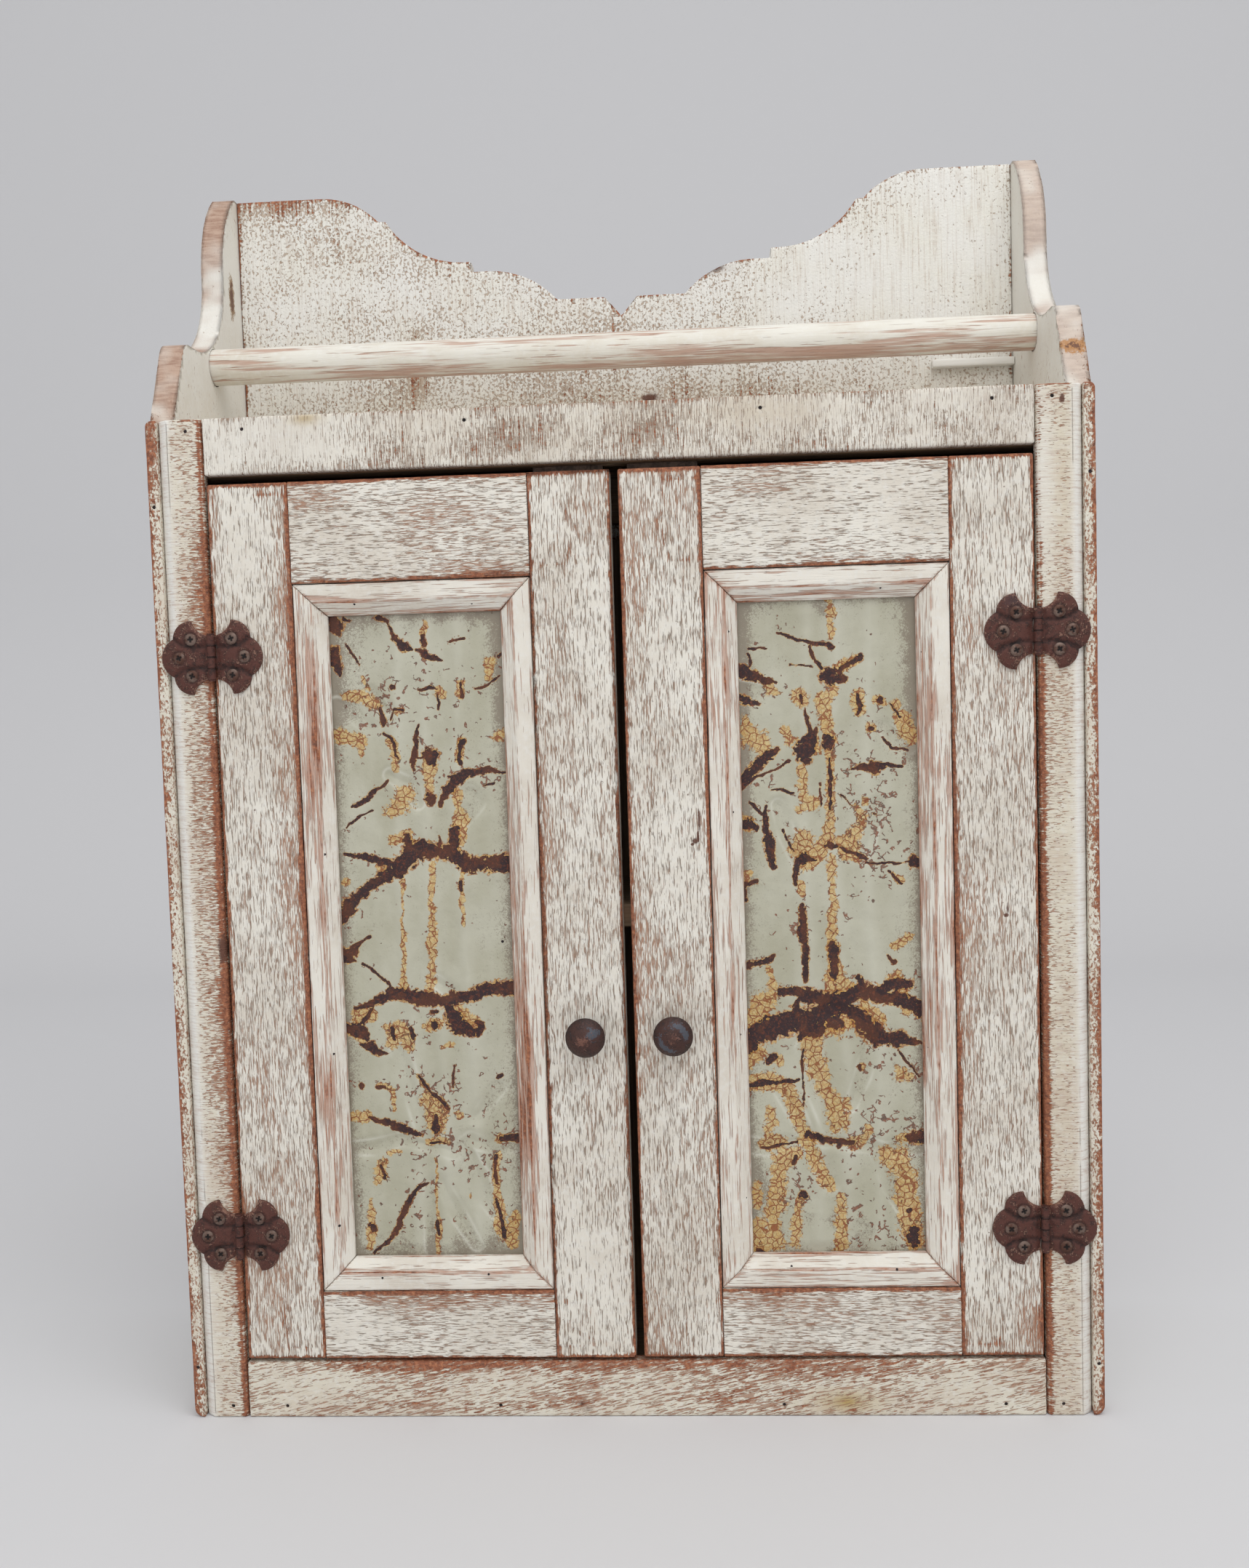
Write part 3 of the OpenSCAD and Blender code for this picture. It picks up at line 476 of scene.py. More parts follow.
def rusty_iron(name, base_colour, worn_colour, patch_colour, patch_share=0.45, roughness=0.62):
    """Brown iron, rubbed on its high places and scaly with rust."""
    f = Finish(name, roughness=roughness, metallic=0.2, specular=0.4)
    scale = f.noise(4.5, 5, 0.68, 0.4)
    fine = f.noise(0.9, 3, 0.6, shift=(3, 1, 8))
    wide = f.noise(16, 3, 0.55, shift=(7, 7, 1))
    crumb = f.noise(2, 4, 0.7, 0.6, shift=(1, 4, 6))
    dark = f.mix(0.65, base_colour, BLACK)
    base = f.mix(f.rise(f.total((scale, 1.2), (crumb, 1.0)), -0.06, 0.16), base_colour, dark)
    # On the knobs the blue grey patch is patina on the right one and a painted sheen on the left one
    patch = f.plus(f.mark("patch"), f.total((scale, 1.6), (wide, 0.8), (crumb, 1.8)))
    base = f.tint(base, f.rise(patch, 0.3, 0.55), patch_share, patch_colour)
    # On the hinges the rubbed colour on the lobes is partly rubbed iron, partly a painted highlight
    rubbed = f.plus(f.mark("worn"), f.total((scale, 1.1), (crumb, 1.6), (fine, 1.0)))
    base = f.tint(base, f.rise(rubbed, 0.2, 0.5), 0.85, worn_colour)
    # Black where marked: on the hinges and knobs this is painted shade, in grooves, sunk rings and knuckle
    # gaps and at the knobs' rims and sides
    base = f.mix(f.mark("blackness"), base, BLACK)
    height = f.total((scale, 0.8), (crumb, 0.7), (fine, 0.4))
    f.done(base, height, 0.5, f.times_plus(crumb, 0.5, roughness - 0.25))


def plain_finish(name, base_colour, dark_colour, roughness, metallic=0.0, grain=1.5):
    """A small part's finish: slightly mottled, with fine pits, and black where it is marked so."""
    f = Finish(name, roughness=roughness, metallic=metallic)
    mottle = f.noise(grain * 3, 4, 0.65)
    base = f.mix(f.rise(mottle, 0.4, 0.6), base_colour, dark_colour)
    # On the screws this black is painted shade, in the cross recesses and round the heads
    base = f.mix(f.mark("blackness"), base, BLACK)
    f.done(base, mottle, 0.08, f.times_plus(mottle, 0.2, roughness - 0.1))


def finishes():
    """All the materials, made once and found by name afterwards."""
    paint = bpy.context.scene.cabinet_paint
    metal = bpy.context.scene.cabinet_metal
    cream, cream_shade = paint.cream, paint.cream_shade
    crest, crest_shade = paint.crest, paint.crest_shade
    white, white_shade = paint.white, paint.white_shade
    grey_wood = chart("#8C817A")
    worn_paint(
        "door_upright", white, white_shade, along("z", 0.72, 9.0),
        [(along("z", 1.1, 12), 0.7), (along("z", 3.0, 24), 0.3)], ((26, 26, 70), 0.4), 0.27, 0.095,
        edge_wear=1.15, deep=0.4, solid=0.45, ridges=along("z", 1.6, 11.0),
        knots=[
            ((49, -80.5, 400), (1.3, 40, 12), grey_wood), ((46, -80.5, 386), (3.2, 40, 3), grey_wood),
            ((48, -80.5, 389), (1.4, 40, 5), paint.dark), ((44, -80.5, 384), (2, 40, 1.6), paint.dark),
            ((246, -80.5, 338), (1.2, 40, 5), grey_wood), ((245, -80.5, 333), (2.4, 40, 2), paint.dark),
        ],
    )
    worn_paint(
        "door_rail", white, white_shade, along("x", 0.72, 8.0),
        [(along("x", 1.1, 9), 0.7), (along("x", 3.0, 20), 0.3)], ((60, 26, 26), 0.4), 0.27, 0.095,
        edge_wear=1.15, deep=0.4, solid=0.45, ridges=along("x", 1.6, 9.0),
    )
    worn_paint(
        "case_upright", cream, cream_shade, over("z", 0.9, 4.2),
        [(over("z", 1.2, 9), 0.8), (over("z", 1.0, 40), 0.4), ((3, 3, 2.4), 0.4)],
        ((30, 30, 70), 0.5), 0.22, 0.07, edge_wear=0.8, saw=over("z", 1.2, 16), solid=0.3,
        knots=[((-270, -80.5, 322), (5, 20, 14), paint.dark), ((284, -80.5, 660), (2.6, 30, 4), paint.dark)],
    )
    worn_paint(
        "case_rail", white, white_shade, over("x", 0.6, 8),
        [(over("x", 0.9, 13), 0.6), (over("x", 1.1, 60), 0.75), ((2.4, 2.4, 1.6), 0.55)],
        ((60, 40, 40), 0.6), 0.25, 0.085, edge_wear=0.95, soft=0.12, veil=paint.veil_grey,
        saw=over("x", 0.8, 40), solid=0.3,
    )
    worn_paint(
        "case_rail_low", cream, cream_shade, along("x", 0.9, 7.0),
        [(along("x", 1.6, 16), 0.8), ((3, 3, 1.4), 0.6)],
        ((60, 40, 26), 0.5), 0.17, 0.05, tilt=12.0, edge_wear=1.0,
    )
    worn_paint(
        "crest", paint.chalk, crest, (1.8, 1.8, 2.2),
        [((2.2, 2.2, 1.5), 0.7), (over("x", 1.5, 60), 0.95)], (50, 0.55), 0.235, 0.055,
        edge_wear=0.7, soft=0.06, deep=0.4, veil=paint.veil_crest, saw=over("x", 1.4, 40),
        knots=[((20, 86.5, 703), (8, 60, 4), paint.dark), ((66, 86.5, 797), (18, 60, 6), grey_wood)],
    )
    worn_paint(
        "side", crest, crest_shade, along("z", 0.9, 4.0),
        [(along("z", 1.4, 12), 0.6), ((2.5, 2.5, 2.0), 0.4)],
        ((40, 40, 70), 0.4), 0.21, 0.13, edge_wear=0.55, rim=True,
        knots=[
            ((-288, 65, 785), (12, 9, 22), chart("#8F6A3C")),
            ((297, -66, 698), (16, 20, 10), chart("#B0793C")),
            ((297, 69, 818), (4, 8, 5), paint.dark), ((297, 19, 796), (4, 8, 5), paint.dark),
        ],
    )
    worn_paint(
        "strip", cream, cream_shade, (1.3, 1.3, 2.2),
        [((2.2, 2.2, 4.5), 0.9), (over("z", 1.4, 8), 0.4)], ((20, 20, 60), 0.5), 0.125, 0.05, edge_wear=0.6,
    )
    worn_paint(
        "bar", crest, crest_shade, along("x", 1.3, 30),
        [(along("x", 4.0, 90), 1.0), (along("x", 1.2, 30), 0.3)], ((140, 16, 16), 0.6), 0.2, 0.17,
        edge_wear=0.2, bare=0.9, soft=0.2, veil=paint.veil_pink,
    )
    worn_paint(
        "moulding_upright", white, white_shade, along("z", 0.8, 22),
        [(along("z", 1.2, 34), 0.6), (along("z", 3.2, 80), 0.5)], ((14, 14, 80), 0.65), 0.22, 0.14,
        edge_wear=0.42, edge_power=9.0, bare=0.22, soft=0.1, veil=paint.veil_pink,
    )
    worn_paint(
        "moulding_rail", white, white_shade, along("x", 0.8, 22),
        [(along("x", 1.2, 34), 0.6), (along("x", 3.2, 80), 0.5)], ((80, 14, 14), 0.5), 0.22, 0.14,
        edge_wear=0.42, edge_power=9.0, bare=0.2, soft=0.1, veil=paint.veil_pink,
    )
    bare_board("board_upright", "z")
    bare_board("board_level", "x")
    rusted_tin("tin")
    rusty_iron("hinge_iron", metal.iron, metal.iron_rubbed_and_highlight, chart("#3B3236"))
    rusty_iron("knob_iron", metal.patina, chart("#7A5346"), metal.patina_blue_and_sheen, 0.85, 0.4)
    plain_finish("steel", metal.steel, chart("#55392F"), 0.45, 0.5, 2.4)
    plain_finish("nail", chart("#33272A"), chart("#1C1718"), 0.7)
    plain_finish("catch", chart("#6B5648"), chart("#4A3A31"), 0.5)


# Working a CAD solid into a piece


# How far wear reaches from an arris, and the smallest rim that counts as one, so that screw holes don't
EDGE_REACH = 12.0
SMALLEST_RIM = 9.0
# A soft spot ends where the square of the distance, in half widths, is this
SPOT_END = 5
# The one point of a search where a piece has no such edge
FAR_OFF = Vector((9, 9, 9))
# Waves to a metre of an arris's chips, coarse and fine, and of a sawn face, and how far the chips reach in
CHIPS, FINE_CHIPS, SAWN = 130, 420, 75
CHIP_REACH = 1.6


def solid_copy(node):
    """The CAD node's mesh, merged from its loose triangles into whole flat faces."""
    bm = bmesh.new()
    bm.from_mesh(frame["nodes"][node].data)
    bmesh.ops.remove_doubles(bm, verts=bm.verts, dist=2e-6)
    bmesh.ops.dissolve_limit(bm, angle_limit=math.radians(0.6), verts=bm.verts, edges=bm.edges)
    return bm


def arris_edges(bm, angle=26.0):
    """Edges where two faces meet at more than this angle, without the rims of nail and screw holes."""
    sharp = {e for e in bm.edges if e.is_manifold and math.degrees(e.calc_face_angle(0)) > angle}
    kept = []
    while sharp:
        first = sharp.pop()
        group, front = [first], [first]
        while front:
            for e in [e for vert in front.pop().verts for e in vert.link_edges]:
                if e in sharp:
                    sharp.remove(e)
                    group.append(e)
                    front.append(e)
        points = [v.co for e in group for v in e.verts]
        span = max(max(p[i] for p in points) - min(p[i] for p in points) for i in range(3))
        if span > SMALLEST_RIM * MM:
            kept += group
    return kept


def edge_points(edges, gap=1.5):
    """A search tree of points along these edges."""
    points = []
    for e in edges:
        a, b = e.verts[0].co, e.verts[1].co
        count = max(1, int((b - a).length / (gap * MM)))
        points += [a.lerp(b, i / count) for i in range(count + 1)]
    points = points or [FAR_OFF]
    tree = kdtree.KDTree(len(points))
    for number, point in enumerate(points):
        tree.insert(point, number)
    tree.balance()
    return tree


def lies_on(edge, planes):
    """Whether the edge lies on one of these planes, each an axis and a distance from the middle."""
    for axis, value in planes:
        if all(abs(abs(v.co["xyz".index(axis)]) - value * MM) < 0.6 * MM for v in edge.verts):
            return True
    return False


def cut_evenly(bm, steps):
    """Cuts the mesh at even steps along x, y and z, the most cuts first; a step of nought makes none."""
    spans = []
    for axis, step in enumerate(steps):
        values = [v.co[axis] for v in bm.verts]
        low, high = min(values), max(values)
        spans.append((round((high - low) / (step * MM)) if step else 0, axis, low, high))
    for count, axis, low, high in sorted(spans, reverse=True):
        normal = [1.0 if i == axis else 0.0 for i in range(3)]
        for i in range(1, count):
            at = [low + (high - low) * i / count if j == axis else 0.0 for j in range(3)]
            whole = bm.verts[:] + bm.edges[:] + bm.faces[:]
            bmesh.ops.bisect_plane(bm, geom=whole, dist=1e-6, plane_co=at, plane_no=normal)


def spots_at(point, spots):
    """Sum of the soft spots (x, z, half width, half height, strength) at a point."""
    total = 0.0
    for x, z, rx, rz, strength in spots:
        far = ((point.x / MM - x) / rx) ** 2 + ((point.z / MM - z) / rz) ** 2
        if far < SPOT_END:
            total += strength * math.exp(-far)
    return total


def split_hollow(bm):
    """Splits the faces whose outline turns inwards somewhere, as a plane may cut them more than twice."""

    def hollow(face):
        corners = [loop.vert.co for loop in face.loops]
        for i, corner in enumerate(corners):
            turn = (corner - corners[i - 1]).cross(corners[(i + 1) % len(corners)] - corner)
            if turn.dot(face.normal) < -1e-12:
                return True
        return False

    bmesh.ops.triangulate(bm, faces=[f for f in bm.faces if len(f.verts) > 4 and hollow(f)])


def verts_of(made):
    """The corners in what an operator made."""
    return [g for g in made if isinstance(g, bmesh.types.BMVert)]


def mesh_from(bm, name, material):
    """A smooth mesh of one material, made from the bmesh, which is freed."""
    mesh = bpy.data.meshes.new(name)
    bm.to_mesh(mesh)
    bm.free()
    mesh.polygons.foreach_set("use_smooth", [True] * len(mesh.polygons))
    mesh.materials.append(material)
    return mesh


def in_scene(name, data):
    """A new object in the scene."""
    made = bpy.data.objects.new(name, data)
    bpy.context.scene.collection.objects.link(made)
    return made


def piece_from(bm, name, body, finish, marks=None, replaced=()):
    """Makes the finished object, puts its marks on it as attributes, and lets it ride on its body."""
    bmesh.ops.triangulate(bm, faces=[f for f in bm.faces if len(f.verts) > 4])
    mesh = mesh_from(bm, name, bpy.data.materials[finish])
    for key, values in (marks or {}).items():
        layer = mesh.attributes.new(key, "FLOAT", "POINT")
        layer.data.foreach_set("value", values)
    piece = in_scene(name, mesh)
    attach(piece, body)
    if replaced:
        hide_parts(*replaced)
    return piece


def show(bm, node, finish, marks, sharp=None):
    """Makes the object that stands in for a CAD node, its edges sharp where they turn by more than sharp."""
    body = frame["nodes"][node]["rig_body"]
    piece = piece_from(bm, "shown_" + node, body, finish, marks, [node])
    if sharp:
        piece.data.set_sharp_from_angle(angle=math.radians(sharp))


def board(
    node, finish, steps, arris=None, wobble=0.45, heave=0.18, rim=1.0,
    fresh=(), worn=(), stain=(), blackness=(), clean_and_painted_light=(),
):
    """A board worked from its CAD solid: arrises rubbed and uneven, faces slightly sawn, wear marked on it.

    wobble and heave are the depths of the arris's and the face's unevenness. fresh names the planes whose
    arrises keep their paint; worn, stain, soot and clean are lists of soft spots.
    """
    arris = arris or bpy.context.scene.cabinet_sizes.arris
    bm = solid_copy(node)
    edges = arris_edges(bm)
    rubbed_tree = edge_points([e for e in edges if not lies_on(e, fresh)])
    tree = edge_points(edges)
    bmesh.ops.bevel(
        bm, geom=edges, offset=arris * MM, offset_type="OFFSET", affect="EDGES",
        segments=2, profile=0.5, material=-1, clamp_overlap=True,
    )
    split_hollow(bm)
    cut_evenly(bm, steps)
    bm.normal_update()
    spots = {"worn": worn, "stain": stain, "blackness": blackness, "fresh": clean_and_painted_light}
    marks = {key: [] for key in ("edge", "rim", *spots)}
    for v in bm.verts:
        marks["edge"].append(max(0.0, 1 - rubbed_tree.find(v.co)[2] / MM / EDGE_REACH))
        marks["rim"].append(rim if abs(v.normal.x) < 0.6 else 0.0)
        for key in spots:
            marks[key].append(spots_at(v.co, spots[key]))
        d = tree.find(v.co)[2] / MM
        ragged = 0.5 + 0.5 * noise.noise(v.co * CHIPS) + 0.35 * noise.noise(v.co * FINE_CHIPS)
        sawn = 0.5 + 0.5 * noise.noise(v.co * SAWN + Vector((7, 3, 1)))
        inward = wobble * max(0.0, ragged) * math.exp(-d / CHIP_REACH) + heave * max(0.0, sawn)
        v.co -= v.normal * inward * MM
    show(bm, node, finish, marks)


# Pieces


class CABINET_OT_finishes(bpy.types.Operator):
    """Make the paints, the woods and the metals"""

    bl_idname = "cabinet.finishes"
    bl_label = "Finishes"

    def execute(self, context):
        finishes()
        return {"FINISHED"}


class CABINET_OT_face_frame(bpy.types.Operator):
    """Make the stiles, rails and edge strips around the doors"""

    bl_idname = "cabinet.face_frame"
    bl_label = "Face frame"

    def execute(self, context):
        cut = context.scene.cabinet_sizes.board_cut
        groove = (("x", 291.4), ("x", 297.4), ("z", 0.0))
        board(
            "face_stile_left", "case_upright", (3, 3.5, cut), fresh=groove,
            worn=[(-274, 560, 8, 60, 0.5), (-278, 440, 10, 90, 0.35), (-272, 230, 7, 130, 0.5),
                  (-285, 655, 14, 22, 0.4), (-284, 330, 8, 40, 0.2), (-290, 120, 7, 120, -0.4)],
            clean_and_painted_light=[(-294.5, 330, 4.2, 500, 1.5), (-294, 668, 5, 6, 1.0)],
        )
        board(
            "face_stile_right", "case_upright", (3, 3.5, cut), fresh=groove,
            worn=[(269, 240, 3.5, 240, 0.7), (284, 300, 12, 300, -0.15), (286, 20, 12, 20, -0.3),
                  (282, 600, 14, 60, -0.15)],
            stain=[(280, 330, 14, 420, 0.12), (282, 620, 12, 50, 0.2)],
            clean_and_painted_light=[(294.5, 330, 4.2, 500, 1.3), (272, 610, 8, 60, 0.45)],
        )
        board(
            "edge_strip_left", "strip", (2, 3, cut), 0.9, fresh=(("x", 297.4),),
            worn=[(-302, 650, 5, 22, 0.9), (-302, 30, 5, 40, 0.2)],
        )
        board(
            "edge_strip_right", "strip", (2, 3, cut), 0.9, fresh=(("x", 297.4),),
            worn=[(303, 650, 4, 30, 0.4), (303, 300, 5, 200, 0.12), (304, 12, 4, 18, 0.7)],
        )
        board(
            "face_rail_top", "case_rail", (cut, 3.5, 3.5), fresh=(("x", 267.1),),
            worn=[(-50, 655, 40, 18, 0.35), (20, 652, 30, 18, 0.35), (-190, 636, 60, 5, 0.5),
                  (-120, 650, 50, 14, 0.3), (0, 671, 300, 3, 0.7), (110, 640, 50, 12, 0.25),
                  (10, 652, 70, 20, 0.2)],
            clean_and_painted_light=[(-225, 652, 60, 22, 0.25)],
            stain=[(-60, 655, 200, 30, 0.12), (-199, 667, 9, 4, 1.0), (90, 660, 60, 10, 0.15)],
        )
        board(
            "face_rail_bottom", "case_rail_low", (cut, 3.5, 3.5), fresh=(("x", 267.1),),
            worn=[(-60, 37, 170, 6, 0.9), (-150, 36, 60, 5, 0.5), (120, 32, 90, 9, 0.5),
                  (-230, 20, 30, 14, -0.4), (40, 12, 60, 6, 0.3), (-110, 8, 60, 4, 0.4)],
            stain=[(137, 10, 22, 8, 0.8), (137, 10, 6, 4, 0.4)],
            blackness=[(-40, 9, 2, 1.4, 1.0), (-37, 5, 2, 1.5, 0.8)],
        )
        return {"FINISHED"}


class CABINET_OT_case(bpy.types.Operator):
    """Make the sides, crest, shelves and back boards"""

    bl_idname = "cabinet.case"
    bl_label = "Case"

    def execute(self, context):
        hidden = context.scene.cabinet_sizes.hidden_cut
        cut = context.scene.cabinet_sizes.board_cut
        for side, sign, rim in (("left_side", -1, 0.9), ("right_side", 1, 0.6)):
            # The clean spot whitens the upper sides, inside and out: painted light on the inner faces, which
            # lie in shade
            board(
                side, "side", (4, cut, cut), 1.4, rim=rim,
                worn=[(sign * 296, 300, 30, 300, 0.1)], clean_and_painted_light=[(sign * 292, 770, 40, 90, 0.5)],
            )
        board(
            "crest_board", "crest", (cut, 5, cut), 1.3,
            worn=[(-245, 856, 60, 8, 0.6), (-156, 738, 7, 30, 0.9), (-175, 820, 50, 30, 0.15),
                  (20, 760, 70, 30, 0.4), (-60, 730, 70, 40, 0.35), (60, 790, 25, 12, 0.3),
                  (190, 790, 90, 80, -0.5), (60, 700, 90, 20, 0.35), (-200, 690, 80, 24, 0.15),
                  (250, 800, 60, 80, -0.4), (-230, 740, 40, 40, -0.2)],
            stain=[(-156, 735, 6, 20, 0.5), (0, 690, 260, 24, 0.35)],
            blackness=[(21, 703, 5, 3, 1.0), (66, 796, 14, 4, 0.5)],
            clean_and_painted_light=[(30, 775, 130, 45, 0.25), (-200, 790, 60, 40, 0.12)],
        )
        board("top_board", "crest", (hidden, hidden, 8), 1.0)
        for node in ("shelf", "bottom_board"):
            board(node, "board_level", (hidden, hidden, 8), 1.0)
        for node in ("back_board_left", "back_board_right"):
            board(node, "board_upright", (hidden, 8, hidden), 1.0)
        for node in ("hanging_rail", "catch_rail"):
            board(node, "board_level", (hidden, 8, 8), 0.8)
        board("back_ledge", "bar", (4, 3, 3), 0.8, clean_and_painted_light=[(260, 711, 90, 30, 0.9)])
        return {"FINISHED"}


class CABINET_OT_towel_bar(bpy.types.Operator):
    """Make the round bar above the case"""

    bl_idname = "cabinet.towel_bar"
    bl_label = "Towel bar"

    def execute(self, context):
        bm = solid_copy("towel_bar")
        ends = edge_points(arris_edges(bm, 60))
        cut_evenly(bm, (5, 0, 0))
        bm.normal_update()
        low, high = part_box("towel_bar")
        middle = (low.z + high.z) / 2
        worn, stain = [], []
        for v in bm.verts:
            below = max(0.0, (middle - v.co.z) / (high.z - middle))
            worn.append(0.75 * below * (0.6 + 0.4 * math.sin(v.co.x * 9)))
            stain.append(0.15 * below)
            dent = 0.5 + 0.5 * noise.noise(Vector((v.co.x * 9, v.co.y * 60, v.co.z * 60)))
            if ends.find(v.co)[2] > 1e-4:
                v.co -= v.normal * 0.4 * max(0.0, dent) * MM
        show(bm, "towel_bar", "bar", {"worn": worn, "stain": stain}, 50)
        return {"FINISHED"}


DOOR_WEAR = {
    "left_hinge_stile": [(-240, 628, 30, 3, 0.9), (-214, 300, 3, 330, 0.35), (-218, 560, 7, 50, 0.5),
                         (-220, 330, 9, 90, 0.45), (-246, 120, 14, 80, 0.4), (-240, 590, 16, 40, -0.3),
                         (-262, 600, 6, 30, 0.5)],
    "left_lock_stile": [(-30, 628, 28, 3, 0.9), (-53, 384, 5, 70, 0.5), (-30, 560, 16, 60, -0.1),
                        (-30, 100, 18, 60, -0.2)],
    "left_top_rail": [(-134, 628, 80, 3, 0.8), (-110, 592, 40, 14, 0.35), (-195, 615, 20, 8, 0.5),
                      (-90, 565, 30, 5, 0.8), (-195, 590, 14, 20, -0.3)],
    "left_bottom_rail": [(-120, 80, 60, 6, 0.6), (-190, 84, 22, 5, 0.6), (-195, 62, 18, 16, -0.4)],
    "right_hinge_stile": [(240, 628, 28, 3, 0.9), (214, 300, 3, 330, 0.3), (225, 520, 6, 50, 0.45),
                          (222, 300, 6, 90, 0.35), (260, 60, 8, 22, 0.8), (250, 560, 14, 60, -0.1)],
    "right_lock_stile": [(30, 628, 30, 4, 1.0), (10, 560, 7, 50, 0.35), (8, 330, 6, 90, 0.35),
                         (30, 470, 14, 50, -0.1)],
    "right_top_rail": [(134, 628, 80, 2.5, 0.7), (140, 600, 70, 24, -0.35), (100, 612, 30, 6, 0.4)],
    "right_bottom_rail": [(90, 80, 50, 6, 0.6), (180, 70, 30, 12, 0.2)],
}
DOOR_SOOT = {"left_top_rail": [(-73, 563, 12, 2, 0.7)]}


class CABINET_OT_doors(bpy.types.Operator):
    """Make the stiles and rails of both doors"""

    bl_idname = "cabinet.doors"
    bl_label = "Door frames"

    def execute(self, context):
        cut = context.scene.cabinet_sizes.board_cut
        joints = [("x", 55.9), ("x", 212.7), ("x", 29.9), ("x", 238.7)]
        parts = {
            "hinge_stile": ("door_upright", None, ()),
            "lock_stile": ("door_upright", None, ()),
            "top_rail": ("door_rail", 0.8, joints),
            "bottom_rail": ("door_rail", 0.8, joints),
        }
        for hand in ("left", "right"):
            for part, (finish, arris, fresh) in parts.items():
                node = f"{hand}_{part}"
                board(
                    node, finish, (cut, 4.5, cut), arris, fresh=fresh, worn=DOOR_WEAR[node],
                    blackness=DOOR_SOOT.get(node, ()),
                )
            board(f"{hand}_backer", "board_upright", (12, 0, 12), 0.5)
        return {"FINISHED"}


MOULDING_WEAR = {
    "left_moulding_outer": [(-206, 470, 6, 90, 0.8), (-203, 370, 7, 140, 0.45), (-202, 180, 5, 70, 0.3)],
    "left_moulding_inner": [(-74, 330, 5, 170, 0.7), (-71, 225, 7, 50, 0.9), (-66, 300, 6, 120, 0.25),
                            (-62, 500, 5, 60, -0.2)],
    "left_moulding_bottom": [(-150, 98, 60, 3, 0.5)],
    "left_moulding_top": [(-130, 550, 80, 8, 0.1), (-134, 542, 60, 3, 0.5)],
    "right_moulding_outer": [(196, 430, 7, 110, 0.6), (195, 300, 5, 80, 0.4), (206, 250, 6, 60, 0.5)],
    "right_moulding_inner": [(66, 340, 7, 110, 0.45), (62, 500, 5, 50, 0.25)],
    "right_moulding_bottom": [(110, 95, 50, 4, 0.5)],
    "right_moulding_top": [(150, 545, 60, 4, 0.3), (134, 542, 60, 3, 0.5)],
}


class CABINET_OT_mouldings(bpy.types.Operator):
    """Make the mitred mouldings around the tin panels, and the brads that hold them"""

    bl_idname = "cabinet.mouldings"
    bl_label = "Mouldings"

    def execute(self, context):
        kinds = {
            "moulding_upright": (("outer", "inner"), (2, 3, 4)),
            "moulding_rail": (("top", "bottom"), (4, 3, 2)),
        }
        for hand in ("left", "right"):
            for finish, (parts, steps) in kinds.items():
                for part in parts:
                    node = f"{hand}_moulding_{part}"
                    board(node, finish, steps, 0.7, 0.3, 0.1, worn=MOULDING_WEAR[node])
            brads(hand)
        return {"FINISHED"}


# Places of the brads, as distance from the cabinet's middle and height
BRADS = {
    "left": ((199, 383), (199, 249), (200, 132), (74, 480), (83, 322), (74, 129),
             (172, 547), (95, 545), (172, 96), (100, 98)),
    "right": ((71, 521), (71, 404), (72, 257), (73, 147), (195, 504), (194, 397), (195, 246), (195, 131),
              (99, 543), (169, 546), (102, 101), (171, 99)),
}
# Inner edges of the mouldings, measured the same way, and the run and drop of their slope towards the tin
INNER_X = (77.3, 191.3)
INNER_Z = (108.3, 539.5)
SLOPE_RUN, SLOPE_DROP = 9.0, 8.0


def brads(hand):
    """Small dark nail heads, driven just below the face of the mouldings."""
    bm = bmesh.new()
    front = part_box(f"{hand}_moulding_outer")[0].y
    sign = -1 if hand == "left" else 1
    turn = Matrix.Rotation(math.pi / 2, 4, "X")
    for x, z in BRADS[hand]:
        upright = INNER_Z[0] < z < INNER_Z[1]
        edge = min(abs(x - at) for at in INNER_X) if upright else min(abs(z - at) for at in INNER_Z)
        drop = max(0.0, SLOPE_RUN - edge) * SLOPE_DROP / SLOPE_RUN
        place = Matrix.Translation((sign * x * MM, front + (drop + 0.25) * MM, z * MM))
        bmesh.ops.create_cone(
            bm, cap_ends=True, segments=10, radius1=1.0 * MM, radius2=0.7 * MM, depth=0.9 * MM,
            matrix=place @ turn,
        )
    piece_from(bm, f"{hand}_moulding_brads", f"{hand}_door", "nail")


# Tin


def strokes(text):
    """Strokes parted by semicolons, their points by commas, each point a place x, z and a half width."""
    return [[tuple(map(float, point.split())) for point in stroke.split(",")] for stroke in text.split(";")]


